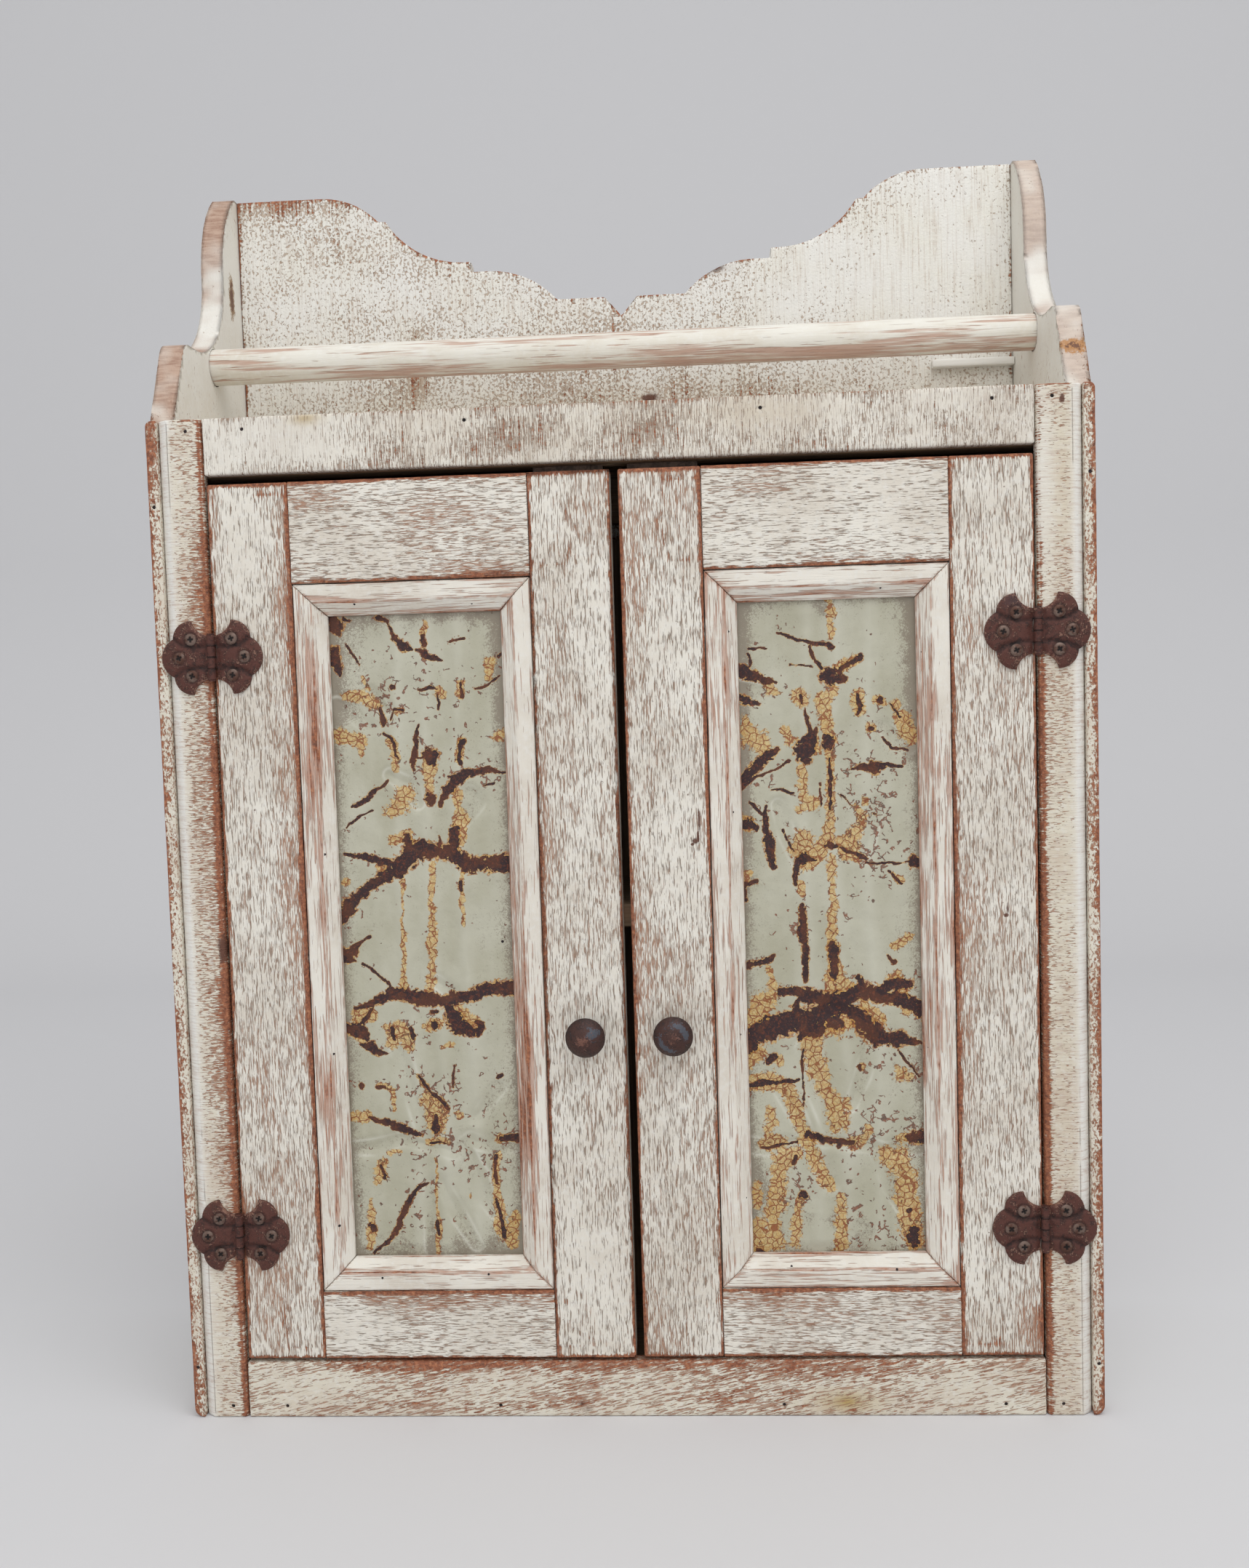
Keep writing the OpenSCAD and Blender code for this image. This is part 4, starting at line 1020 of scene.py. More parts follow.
# Strokes of wear on each tin panel, from the left and bottom edges of its opening
RUST = {
    "left": strokes("""
        3 430 3.5, 5 425 4, 7 420 1.5; 3 409 3, 4 401 3.5, 6 393 1; 10 430 1.5, 15 429 0.8; 34 430 2,
        39 428 1; 39 426 0.6, 44 416 2.2, 50 410 2.6, 55 408 0.7; 57 408 0.9, 64 405 2.2, 75 400 0.6;
        11 413 0.6, 16 405 0.9, 19 399 0.6; 63 417 1.2, 63 411 1.5; 80 413 0.6, 90 414 0.6; 58 382 0.6,
        65 383 0.8, 71 381 0.6; 71 378 0.6, 71 369 0.8; 96 382 0.6, 104 383 0.6, 112 389 0.6; 112 402 0.7,
        116 406 0.8; 87 385 0.8, 87 377 1.2; 41 384 1.4, 42 384 1.2; 48 368 0.8, 42 370 0.7, 39 363 0.6;
        31 370 1, 34 363 1.8, 34 359 1; 34 354 0.8, 39 350 1, 41 340 1.2, 43 337 0.7; 57 359 0.6, 55 348 1,
        54 338 1.8, 53 331 1.6; 63 340 3, 65 338 3.8, 65 334 2.5; 56 337 0.6, 61 337 0.7; 63 310 3,
        63 307 2; 86 347 1.8, 84 339 1.2, 84 332 1; 70 305 1.5, 74 314 2.6, 80 321 3.2, 89 326 2.6,
        102 328 1.6, 114 326 0.6; 35 322 0.6, 25 314 1.3, 15 307 1.6, 11 305 1; 24 303 0.6, 17 300 0.6,
        6 292 0.6; 106 319 0.6, 99 317 0.6; 4 274 0.9, 14 273 1.5, 25 270 2, 36 267 2.4; 1 231 3, 6 240 4.5,
        13 246 3, 24 255 2.5, 37 262 4, 46 270 5.2, 57 276 5, 68 274 4.5, 78 272 4.5, 87 265 4.5, 100 265 4,
        117 267 4; 117 261 2.2, 107 262 1.8; 47 286 1.5, 47 281 3, 46 275 2.6; 78 289 3, 78 282 3.6,
        79 276 2.5; 41 260 1.5, 42 257 1; 68 284 0.6, 69 276 0.6; 82 254 1, 82 249 1.2; 19 218 0.7,
        11 214 0.9, 7 212 0.7; 1 206 3.8, 6 208 3.2, 11 213 1.2, 14 216 0.6; 1 203 2.5, 8 202 1; 12 200 0.6,
        22 194 0.8, 29 187 1, 33 183 0.8; 7 170 0.9, 18 173 2, 31 179 3.2, 40 179 3.6, 55 176 4.2,
        66 174 3.6, 78 176 3.2, 89 179 3.5, 101 182 4, 116 182 4.2; 18 169 0.9, 11 161 1, 6 157 1;
        0 156 3.6, 7 156 4, 12 153 2.6, 14 148 1; 10 145 1, 17 143 3, 22 140 2.5, 27 139 0.6; 69 172 1,
        72 164 4, 77 158 5.5, 83 153 3.5; 88 160 1.5, 91 156 2.5, 89 150 1; 32 156 1.6, 32 148 1.2;
        44 156 1.4, 45 151 1.6; 60 157 2.6, 60 156 2; 59 167 1.5, 62 167 1; 48 123 0.6, 56 112 1,
        62 107 1.6, 68 101 1.4; 58 96 1, 58 88 2.4, 58 85 1.5; 14 95 1, 27 91 2, 36 88 2.4, 44 84 2.2,
        48 82 0.9; 19 116 1.2, 25 115 0.8; 9 117 1.6, 9 116 1.4; 53 77 0.6, 59 77 0.8, 65 77 0.6;
        103 80 1.8, 115 79 2.2; 13 1 0.6, 20 7 0.9, 28 16 1.5, 34 29 1.8, 39 40 1.6, 44 47 1.3, 51 50 0.6;
        98 68 1, 98 59 0.8, 98 49 1; 97 38 0.8, 101 26 1, 102 12 1.4; 12 21 2, 13 19 2; 22 54 1, 20 62 0.8;
        103 123 1.4, 102 121 1; 56 24 0.8, 57 15 0.8; 72 130 0.6, 71 115 0.6
    """),
    "right": strokes("""
        25 412 0.6, 34 408 0.8, 45 405 0.8, 52 403 1.2, 60 402 1.6; 47 402 0.8, 49 395 0.8, 54 388 1;
        55 382 3, 59 382 5, 63 381 4, 69 380 2; 64 385 1, 72 391 1.5, 79 394 2; -3 388 2.5, 3 387 3.5,
        10 385 3, 16 381 2, 25 379 0.6; 7 398 0.6, 8 391 0.8; -2 372 2, 2 370 3, 8 367 2, 13 366 1;
        40 371 0.8, 41 366 1; 42 361 0.6, 45 353 1, 46 345 2, 40 335 4, 42 331 4.5, 47 340 3, 50 349 1;
        57 342 3, 58 339 3.5, 59 336 1.5; -4 312 2.2, 3 316 3, 10 325 3, 18 332 2.5, 24 336 1.5; -3 308 0.8,
        10 318 0.8, 23 323 0.8, 32 328 0.8; 72 322 0.6, 79 323 1.5, 87 322 3.4, 94 324 1.2, 105 323 0.6;
        16 299 0.6, 15 290 1.5, 17 277 2.5, 18 268 2.8, 20 258 1.5; -2 288 3, 4 288 3.5, 9 284 1.5;
        6 301 0.8, 13 294 0.6; 20 310 0.6, 27 309 0.8, 34 307 0.6; 48 263 0.6, 40 264 3, 36 262 3,
        34 253 1.5, 34 246 1; 26 283 0.6, 34 269 0.6; 54 271 1, 58 272 2.5, 62 271 1, 73 266 1, 80 263 1.4;
        80 260 0.6, 95 259 0.6, 109 260 0.6; 111 260 3.5, 113 259 3; 95 254 0.6, 100 249 1, 103 246 0.6;
        -3 244 3.5, -1 237 2.5, -2 231 1; -1 246 2, 5 249 1.2, 9 250 0.7; 38 234 1, 38 225 1.8, 37 216 1.8;
        77 370 1, 78 363 1.5, 77 358 1; 91 366 1.4, 91 365 1.2; 85 348 1.4, 86 348 1.2; 92 342 0.6,
        98 335 0.8, 109 333 0.6; 58 329 0.8, 58 318 1, 58 305 1, 58 296 0.8; 34 390 0.6, 48 389 0.6;
        8 402 0.6, 18 401 0.6; 51 313 0.6, 52 298 0.6; 85 292 1, 87 291 0.8; 64 305 0.6, 72 298 0.6;
        97 364 0.6, 104 355 0.6; 38 230 2, 38 215 2.2, 39 199 2, 39 184 1.5; 57 206 2.5, 58 196 2.5,
        58 185 2; -3 192 2, 7 195 1.8, 16 197 1.8, 19 200 1; 93 199 0.6, 98 194 1.4; 23 176 2, 32 177 2.2,
        39 173 4, 50 170 4, 61 170 4, 70 174 4.5, 81 175 5, 90 172 4, 101 169 4, 108 165 4, 117 160 3.5;
        74 185 1.5, 76 177 1.8; 93 178 3, 100 180 4, 107 179 3; -3 141 4, 9 149 6, 22 154 7, 29 156 6.5,
        41 156 7, 48 161 6, 61 165 4, 70 161 4, 75 155 6, 84 147 6, 92 143 3.5, 99 143 4.5, 108 141 2,
        115 139 0.6; 31 160 3, 33 167 1.5, 35 171 1; 58 154 4.5, 56 154 4; 48 150 3.5, 39 148 3, 35 145 2;
        3 139 3.5, 0 137 2; 14 130 2, 17 133 2; 99 136 0.6, 106 126 0.6, 112 117 0.6; 73 125 1, 74 122 0.7;
        0 113 0.8, 8 115 2, 19 115 1, 33 116 1; 38 79 2.2, 48 76 2.2, 59 74 2, 68 73 1.2; 59 72 1.8,
        59 71 1; 106 77 3.4, 114 77 3.8; 7 71 1, 13 71 1.2, 22 73 0.8, 31 75 0.6; 34 39 2.2, 35 38 1.8;
        29 60 1.5, 30 65 1; 107 13 3, 107 8 4, 107 4 2; 104 28 1.4, 104 27 1.2; 4 0 2, 7 0 1.5; 36 137 0.6,
        36 118 0.6, 36 99 0.6
    """),
}
OCHRE = {
    "left": strokes("""
        64 426 1.5, 63 419 1.5; 73 380 2.5, 75 378 2; 86 347 2.5, 84 334 1.5; 106 398 3.5, 105 388 2;
        9 379 3, 22 378 4, 27 373 3; 0 353 4, 11 352 5, 19 349 4, 17 341 2; 112 351 3.5, 107 349 2;
        38 350 2, 41 340 2.5, 41 329 2; 64 331 3.5, 63 316 3; 46 314 5, 45 307 6, 36 302 3.5; 81 313 3,
        82 304 2, 84 297 4, 82 285 4, 80 278 3; 37 283 3, 48 286 3, 52 277 2.5; 30 264 3.5, 32 261 3;
        63 265 2, 62 247 2, 62 230 2.5, 60 211 2.8; 83 259 1.2, 82 242 1.2, 82 224 1; 43 255 1, 41 230 1,
        41 213 1; 4 257 2.5, 4 255 2; 21 391 1.2, 25 382 1; 87 385 2, 86 378 2; 45 368 2.5, 46 368 2;
        42 221 1.5, 41 199 2, 40 184 2.2; 62 221 3, 60 198 2.5, 59 183 2.5; 28 157 2, 32 146 4, 37 157 4,
        41 149 3.5, 42 142 3; 57 157 3.5, 64 159 3; 65 143 1.5, 72 144 1.5; 78 168 3, 85 160 4, 88 154 3;
        9 165 4, 17 165 3; 1 156 3, 10 151 3; 53 105 5, 60 100 6, 59 88 5; 47 123 1, 54 115 1.5; 0 96 3,
        12 96 3; 20 117 1.5, 30 114 1.5, 30 100 1.2; 75 96 2.2, 76 96 2; 26 71 2, 34 73 1.5; 21 64 3,
        17 52 3; 12 38 1.5, 12 21 2.5, 11 9 3; 58 65 1, 57 40 1, 57 11 1.5, 57 1 2; 99 68 1.5, 98 49 2,
        99 34 3, 100 18 3, 106 9 4, 111 26 3; 80 40 1.5, 80 39 1.2; 101 80 3, 102 80 2; 53 78 2, 66 79 2
    """),
    "right": strokes("""
        60 431 2, 61 420 2.5, 60 407 2; 66 387 3, 75 392 2.5; 40 370 4.5, 42 368 4; 20 375 3.5, 24 373 2;
        61 373 3, 55 366 4, 57 353 3.5, 59 335 2, 58 316 2, 58 298 2, 57 283 3; 77 369 3.5, 78 360 3;
        4 354 4, 6 347 6, 11 343 6, 14 338 4; 29 348 3, 33 341 3; 104 357 3, 107 351 5, 109 344 5;
        40 321 2.5, 41 306 3, 45 300 4, 37 297 3; 49 337 3, 51 335 2.5; 40 278 5, 40 271 6; 55 276 4,
        49 267 4, 42 260 4; 66 266 4, 68 272 5, 73 279 5, 77 290 3, 75 298 1.5; 66 266 4, 75 264 3;
        58 263 2.5, 58 246 2.8, 58 228 2.8, 57 215 2.5; 37 247 1.8, 38 240 1.5; -2 250 3, 3 255 2;
        80 303 1.5, 81 299 1.5; 102 249 2.5, 97 253 1; -2 290 3.5, 4 287 3.5; 89 366 2, 92 365 2; 84 348 2,
        86 348 2; 100 363 2, 101 362 2; 57 230 3, 57 211 3, 58 193 3, 60 180 6, 63 176 6; 16 190 2.5,
        18 179 2.5; 15 171 5, 8 169 6, 4 156 5, 11 156 4; 106 210 3, 98 205 2; 98 183 4, 103 173 3,
        105 162 3; 77 166 3, 83 159 4, 87 155 2.5; 50 155 4, 58 156 9, 66 155 5; 42 143 6, 45 129 6,
        49 114 5, 56 99 6, 59 88 6; 63 99 4, 64 103 3; 5 136 5, 1 126 3; 20 130 2.5, 21 128 2; 1 115 4,
        14 116 5, 25 111 4, 30 96 4, 35 80 4, 39 71 3, 46 56 5, 53 44 4; 100 119 5, 104 117 3; 14 96 3,
        15 88 4, 11 83 3; 13 75 5, 22 75 3; 29 67 4, 22 64 6, 18 50 5, 16 33 6, 13 18 5, 17 5 5; 70 74 4,
        76 76 3, 79 84 2; 90 65 6, 97 61 7, 103 49 7, 102 34 7, 104 19 7, 107 6 5; 59 38 3, 59 23 4,
        58 2 4.5; 33 37 2, 30 22 3, 28 6 4; 4 47 3, 4 33 3; 6 18 6, 4 7 6, 9 5 5; 101 77 3, 98 76 2;
        75 125 2, 76 123 1.5
    """),
}
CREASE = {
    "left": strokes("""
        36 140 6, 43 115 6, 52 80 5; 78 72 5, 86 55 6, 91 38 5, 95 28 3; 61 50 4, 72 26 5, 83 7 4; -2 74 4,
        17 75 5, 34 80 4, 53 76 4, 70 71 5, 82 79 5, 100 73 4, 113 75 4; 86 95 4, 102 114 4; 53 50 4,
        52 3 4; 3 373 5, 14 369 6, 23 358 4; 37 326 4, 51 318 5, 55 307 4; 90 313 4, 94 306 5, 86 295 4;
        26 382 3, 35 370 4; 63 187 4, 72 180 4
    """),
    "right": strokes("""
        38 137 6, 43 114 6, 54 82 5; 67 99 4, 75 118 5, 82 140 5; 0 73 5, 13 71 5, 35 75 4, 57 75 4,
        77 72 5, 88 68 5, 115 70 4; 85 65 5, 92 46 6, 99 30 4; 21 109 4, 32 92 5, 40 71 5, 53 46 5; 1 376 5,
        10 373 6, 15 374 4; 94 348 4, 100 341 5, 110 335 4; 24 299 4, 29 280 5, 36 262 4; 88 297 4,
        80 268 5; 54 163 4, 66 159 5
    """),
}
GRIME = {
    "left": strokes("""
        4 430 13, 6 395 12, 5 365 8; 109 430 5, 111 395 7, 113 360 5; 2 425 5, 60 430 4, 112 428 5; 30 8 10,
        90 6 12, 112 20 8
    """),
    "right": strokes("""
        4 428 4, 5 390 3, 4 300 3, 4 270 3; 110 428 6, 111 380 6, 112 330 4; 50 428 4, 64 424 4; 40 24 5,
        85 16 5, 60 6 4; 4 60 4, 20 10 4
    """),
}
FLAKED = {
    "left": strokes("""
        60 120 30, 90 80 30, 50 60 25; 30 380 20, 80 360 20
    """),
    "right": strokes("""
        80 100 28, 100 80 24, 60 45 30, 85 20 25; 80 320 20, 90 290 20, 70 240 20
    """),
}

# The opening of the right door's mouldings, which the left door mirrors, in the cabinet's own places
OPENING_X = (76.9, 191.7)
OPENING_Z = (107.9, 539.9)
OPENING_WIDE, OPENING_TALL = OPENING_X[1] - OPENING_X[0], OPENING_Z[1] - OPENING_Z[0]
# Places of the pressed flutes from the opening's left edge
FLUTES = (44.0, 63.0, 84.0)
# How far the sheet is flat along the mouldings, how far the rust's halo spreads, and the thinnest stroke
FLAT_RIM = 9
HALO = 5.0
THINNEST = 0.6
# Least and most that the face may rise, so that it stays between the mouldings
LIFT = (-0.5, 3.0)
# Sizes of the sheet's waves, crumples and pits, and of the coarse and fine jags of its rust
WAVE, CRUMPLE, PIT = 46, 17, 5
JAG, FINE_JAG = 7, 2.6
# Height and length of the sway of the flutes
SWAY, SWAY_LENGTH = 3, 60


def stroke_field(x, z, lines, wider=0.0):
    """How near each place is to the lines: one on a line, a half at its rim, nought at twice that."""
    field = np.zeros_like(x)
    for stroke in lines:
        for (x0, z0, w0), (x1, z1, w1) in zip(stroke, stroke[1:]):
            dx, dz = x1 - x0, z1 - z0
            run = dx * dx + dz * dz or 1.0
            t = np.clip(((x - x0) * dx + (z - z0) * dz) / run, 0, 1)
            far = np.hypot(x - x0 - t * dx, z - z0 - t * dz)
            width = np.maximum(w0 + wider + (w1 - w0) * t, THINNEST)
            field = np.maximum(field, 1 - far / (2 * width))
    return field


def rough_field(x, z, size, seed):
    """Smooth noise between minus one and one, with patches of about this size."""
    return np.array([noise.noise(Vector((a / size, b / size, seed))) for a, b in zip(x, z)])


def bump(value, width):
    """One where the value is nought, falling away on both sides over about this width."""
    return np.exp(-((value / width) ** 2))


def uneven_cuts(low, high, opening, step):
    """Places of the cuts from low to high: step apart in the opening, and few under the mouldings."""
    inner, outer = opening[0] - 2.5, opening[1] + 2.5
    seen = np.linspace(inner, outer, round((outer - inner) / step) + 1)
    return np.concatenate([np.linspace(low, inner, 5)[:-1], seen, np.linspace(outer, high, 5)[1:]])


def tin_sheet(low, high, opening):
    """A flat sheet with a rim and a back, its face cut finely where it is seen."""
    step = bpy.context.scene.cabinet_sizes.tin_cut
    columns = uneven_cuts(low.x / MM, high.x / MM, opening, step)
    rows = uneven_cuts(low.z / MM, high.z / MM, OPENING_Z, step)
    across, up = len(columns) - 1, len(rows) - 1
    bm = bmesh.new()
    bmesh.ops.create_grid(bm, x_segments=across, y_segments=up, size=0.5)
    for v in bm.verts:
        v.co = (columns[round((v.co.x + 0.5) * across)] * MM, low.y, rows[round((v.co.y + 0.5) * up)] * MM)
    rim = [e for e in bm.edges if e.is_boundary]
    back = bmesh.ops.extrude_edge_only(bm, edges=rim)["geom"]
    bmesh.ops.translate(bm, vec=(0, high.y - low.y, 0), verts=verts_of(back))
    bmesh.ops.holes_fill(bm, edges=[e for e in bm.edges if e.is_boundary], sides=0)
    bmesh.ops.recalc_face_normals(bm, faces=bm.faces)
    return bm


def tin_panel(hand):
    """One pressed and dented sheet, worn through its paint along the strokes, with painted shade and painted
    highlights marked on it.
    """
    node = f"{hand}_tin_panel"
    low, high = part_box(node)
    opening = OPENING_X if hand == "right" else (-OPENING_X[1], -OPENING_X[0])
    bm = tin_sheet(low, high, opening)
    x = np.array([v.co.x for v in bm.verts]) / MM - opening[0]
    z = np.array([v.co.z for v in bm.verts]) / MM - OPENING_Z[0]
    front = np.array([v.co.y for v in bm.verts]) < (low.y + high.y) / 2
    side, end = np.minimum(x, OPENING_WIDE - x), np.minimum(z, OPENING_TALL - z)
    seen = np.clip(np.minimum(side, end) / FLAT_RIM, 0, 1)
    seen = seen * seen * (3 - 2 * seen)

    wave = rough_field(x, z, WAVE, 1.7)
    crumple = rough_field(x, z, CRUMPLE, 4.2)
    pits = rough_field(x, z, PIT, 8.1)
    jag_x = 1.3 * rough_field(x, z, JAG, 2.2) + 0.5 * rough_field(x, z, FINE_JAG, 3.3)
    jag_z = 1.3 * rough_field(x, z, JAG, 12.2) + 0.5 * rough_field(x, z, FINE_JAG, 13.3)
    rust = stroke_field(x + jag_x, z + jag_z, RUST[hand])
    halo = stroke_field(x + jag_x, z + jag_z, RUST[hand], HALO)
    ochre = stroke_field(x + 1.6 * jag_x, z + 1.6 * jag_z, OCHRE[hand])
    crease = stroke_field(x, z, CREASE[hand])
    darkening = stroke_field(x + jag_x, z + jag_z, GRIME[hand])
    flaked = 0.3 * stroke_field(x, z, FLAKED[hand]) - 0.1
    bend = SWAY * np.sin(z / SWAY_LENGTH)
    flute = sum(bump(x - at - bend, 4.5) for at in FLUTES)
    furrow = sum(bump(x - at - 8 - bend, 4) for at in FLUTES)

    lift = 1.1 + 0.6 * wave + 0.6 * crumple + 0.12 * pits + 0.9 * flute - 2.0 * crease ** 1.3 - 0.3 * rust
    lift = np.clip(lift, *LIFT) * seen
    for v, rise in zip(bm.verts, np.where(front, lift, 0.0)):
        v.co.y -= rise * MM
    # Painted highlight: a pale band at each side of the creases where the sheet crumples up, and along the
    # flutes' ridges
    painted_highlight = bump(crease - 0.42, 0.1) * np.clip(0.4 + 1.6 * crumple, 0, 1) + 0.3 * flute
    # Darker near the mouldings, in creases, in the waves' hollows, beside each flute and near the rust:
    # partly dirt and soot, partly painted shade; the flutes' ridges are lighter, a painted highlight
    grime_and_shade = 0.9 * np.exp(-np.clip(side, 0, 99) / 6.0) + 0.6 * np.exp(-np.clip(end, 0, 99) / 5.0)
    grime_and_shade += 0.2 * crease + 0.2 * np.clip(-wave, 0, 1) + 0.45 * darkening
    grime_and_shade += 0.12 * furrow - 0.25 * flute + 0.12 * rust + 0.12 * ochre
    marks = {"rust": rust, "halo": halo, "ochre": ochre, "grime_and_shade": grime_and_shade, "flaked": flaked, "painted_highlight": painted_highlight}
    show(bm, node, "tin", marks)


class CABINET_OT_tin_panels(bpy.types.Operator):
    """Make the pressed and rusted tin panels"""

    bl_idname = "cabinet.tin_panels"
    bl_label = "Tin panels"

    def execute(self, context):
        for hand in ("left", "right"):
            tin_panel(hand)
        return {"FINISHED"}


# Iron


# Place of the pins to either side, the face of the hinge leaves, and the middles of the two hinges
PIN_X = 266.8
PLATE_FRONT = -82.1
HINGE_Z = (515.0, 127.0)
# Length of one knuckle of the barrel, and how far the barrel reaches from the pin
KNUCKLE = 8.0
BARREL = 3.3
# Screws of one leaf: distance from the pin, height from the hinge's middle
LEAF_SCREWS = ((13.5, 12.0), (13.5, -12.0), (21.7, 0.0))
GROOVE = strokes("25.6 12.6 1.3, 20 8.5 1.5, 12 6.6 1.5, 3 7 1.2")
# Lobes of a leaf, the two outer ones and the one at its end: place and radius
OUTER_LOBE = (13.5, 12, 13)
END_LOBE = (19.4, 0, 14.5)
# The raised ring round a screw and the sunk one inside it: radius and width
RING = (5.9, 0.8)
MOAT = (4.5, 0.7)
# Screw heads: radius, place of the rim before the plate, rise of the dome, and where the edge meets the plate
HEAD_R = 4.1
HEAD_BACK = 0.9
HEAD_RISE = 1.5
HEAD_FOOT = PLATE_FRONT + 0.05
# The cross recess of a head: half width and reach of its arms, with the slope of each, and its depth
ARM_HALF, ARM_SLOPE = 0.85, 0.35
ARM_REACH, END_SLOPE = 2.15, 0.4
RECESS = 0.75


def dome(u, v, u0, v0, r):
    """A half ball of one, on the circle of radius r about (u0, v0)."""
    return np.sqrt(np.clip(1 - ((u - u0) ** 2 + (v - v0) ** 2) / (r * r), 0, 1))


def hinge_leaf(node):
    """One leaf, its lobes pressed out between curved grooves, with a dished ring round each screw."""
    step = bpy.context.scene.cabinet_sizes.hinge_cut
    bm = solid_copy(node)
    rim = edge_points(arris_edges(bm), 0.7)
    split_hollow(bm)
    cut_evenly(bm, (step, 0, step))
    bm.normal_update()
    points = np.array([v.co for v in bm.verts]) / MM
    u = np.abs(np.abs(points[:, 0]) - PIN_X)
    v = points[:, 2] - min(HINGE_Z, key=lambda z: abs(z - points[:, 2].mean()))
    inset = np.array([rim.find(vert.co)[2] for vert in bm.verts]) / MM
    lobes = np.maximum(dome(u, np.abs(v), *OUTER_LOBE), dome(u, v, *END_LOBE))
    groove = stroke_field(u, np.abs(v), GROOVE)
    rings, moats = (
        sum(bump(np.hypot(u - a, v - b) - radius, width) for a, b in LEAF_SCREWS)
        for radius, width in (RING, MOAT)
    )
    pits = rough_field(points[:, 0], points[:, 2], 3.2, 5.5)
    near_pin = np.clip((u - 3.0) / 3.0, 0, 1)
    raise_by = 0.3 + 1.35 * lobes - 1.5 * groove ** 1.3 + 0.3 * rings - 0.5 * moats + 0.15 * pits
    raise_by *= np.clip(inset / 1.8, 0, 1) ** 0.7 * near_pin
    for vert, up in zip(bm.verts, raise_by):
        if abs(vert.co.y / MM - PLATE_FRONT) < 0.02:
            vert.co.y -= max(-0.7, up) * MM
    # Lighter on the lobes and screw rings, as rubbed iron and as a painted highlight, and along the rim;
    # darker in the grooves, as painted shade
    worn = 0.25 * lobes + 0.1 * rings - 0.9 * groove - 0.12 + 0.3 * np.exp(-inset / 1.2)
    patch = np.zeros_like(u)
    if node == "right_door_leaf_upper":
        patch += 1.1 * np.exp(-(((u - 14) / 7) ** 2 + ((v - 19) / 6) ** 2))
    joint = np.abs((v + KNUCKLE / 2) % KNUCKLE - KNUCKLE / 2)
    barrel = (u < BARREL) & (np.abs(v) < 2 * KNUCKLE - 1)
    # Painted shade: black in the curved grooves, in the sunk rings round the screws, and as lines at the gaps
    # between the barrel's knuckles
    blackness = 0.9 * np.clip(groove - 0.35, 0, 1) + 0.45 * moats + 0.85 * barrel * bump(joint, 0.7)
    show(bm, node, "hinge_iron", {"worn": worn, "patch": patch, "blackness": blackness}, 38)


def dress(node, name):
    """Gives a CAD node that keeps its shape its own finish."""
    mesh = frame["nodes"][node].data
    for number in range(len(mesh.materials)):
        mesh.materials[number] = bpy.data.materials[name]


class CABINET_OT_hinges(bpy.types.Operator):
    """Make the pressed hinge leaves, and give their pins and the frame's nails a finish"""

    bl_idname = "cabinet.hinges"
    bl_label = "Hinges"

    def execute(self, context):
        for node in sorted(n for n in frame["nodes"] if "leaf" in n):
            hinge_leaf(node)
        dress("hinge_pins", "hinge_iron")
        dress("face_nails", "nail")
        dress("magnetic_catches", "catch")
        return {"FINISHED"}


def screw_head(bm, x, z, turn, blackness):
    """Adds one low domed head with a cross recess, standing on the hinge plate."""
    cuts = bpy.context.scene.cabinet_sizes.screw_cuts
    made = bmesh.ops.create_grid(bm, x_segments=cuts, y_segments=cuts, size=1)["verts"]
    rim = [e for e in {e for v in made for e in v.link_edges} if e.is_boundary]
    for v in made:
        a, b = v.co.x, v.co.y
        across = a * math.sqrt(1 - b * b / 2) * HEAD_R
        up = b * math.sqrt(1 - a * a / 2) * HEAD_R
        r = math.hypot(across, up)
        bulge = math.sqrt(max(0.0, 1 - (r / (HEAD_R * 1.04)) ** 2))
        along_x = across * math.cos(turn) + up * math.sin(turn)
        along_z = up * math.cos(turn) - across * math.sin(turn)
        arm, reach = min(abs(along_x), abs(along_z)), max(abs(along_x), abs(along_z))
        hollow = max(0.0, min(1.0, (ARM_HALF - arm) / ARM_SLOPE))
        hollow *= max(0.0, min(1.0, (ARM_REACH - reach) / END_SLOPE))
        # Painted shade: black in the cross recess and in a thin ring at the head's rim
        blackness[v] = max(hollow, 0.7 * max(0.0, r / HEAD_R - 0.93) * 12)
        lift = HEAD_RISE * bulge - RECESS * hollow
        v.co = Vector((x + across, PLATE_FRONT - HEAD_BACK - lift, z + up)) * MM
    base = bmesh.ops.extrude_edge_only(bm, edges=rim)["geom"]
    for v in verts_of(base):
        v.co.y = HEAD_FOOT * MM
    loop = [g for g in base if isinstance(g, bmesh.types.BMEdge) and g.is_boundary]
    bmesh.ops.contextual_create(bm, geom=loop)


def hinge_screws(node, side, signs):
    """The node's screws with modelled heads on the hinge leaves; the rest keep their CAD shape."""
    bm = solid_copy(node)
    whole = bm.verts[:] + bm.edges[:] + bm.faces[:]
    foot = (0, HEAD_FOOT * MM, 0)
    bmesh.ops.bisect_plane(bm, geom=whole, dist=1e-7, plane_co=foot, plane_no=(0, 1, 0), clear_inner=True)
    bmesh.ops.holes_fill(bm, edges=[e for e in bm.edges if e.is_boundary], sides=0)
    blackness = {}
    for sign in signs:
        for z_mid in HINGE_Z:
            for u, v in LEAF_SCREWS:
                x = sign * (PIN_X + side * u)
                screw_head(bm, x, z_mid + v, math.radians((x * 7 + v * 31 + z_mid) % 90), blackness)
    bmesh.ops.recalc_face_normals(bm, faces=bm.faces)
    show(bm, node, "steel", {"blackness": [blackness.get(v, 0.0) for v in bm.verts]}, 42)


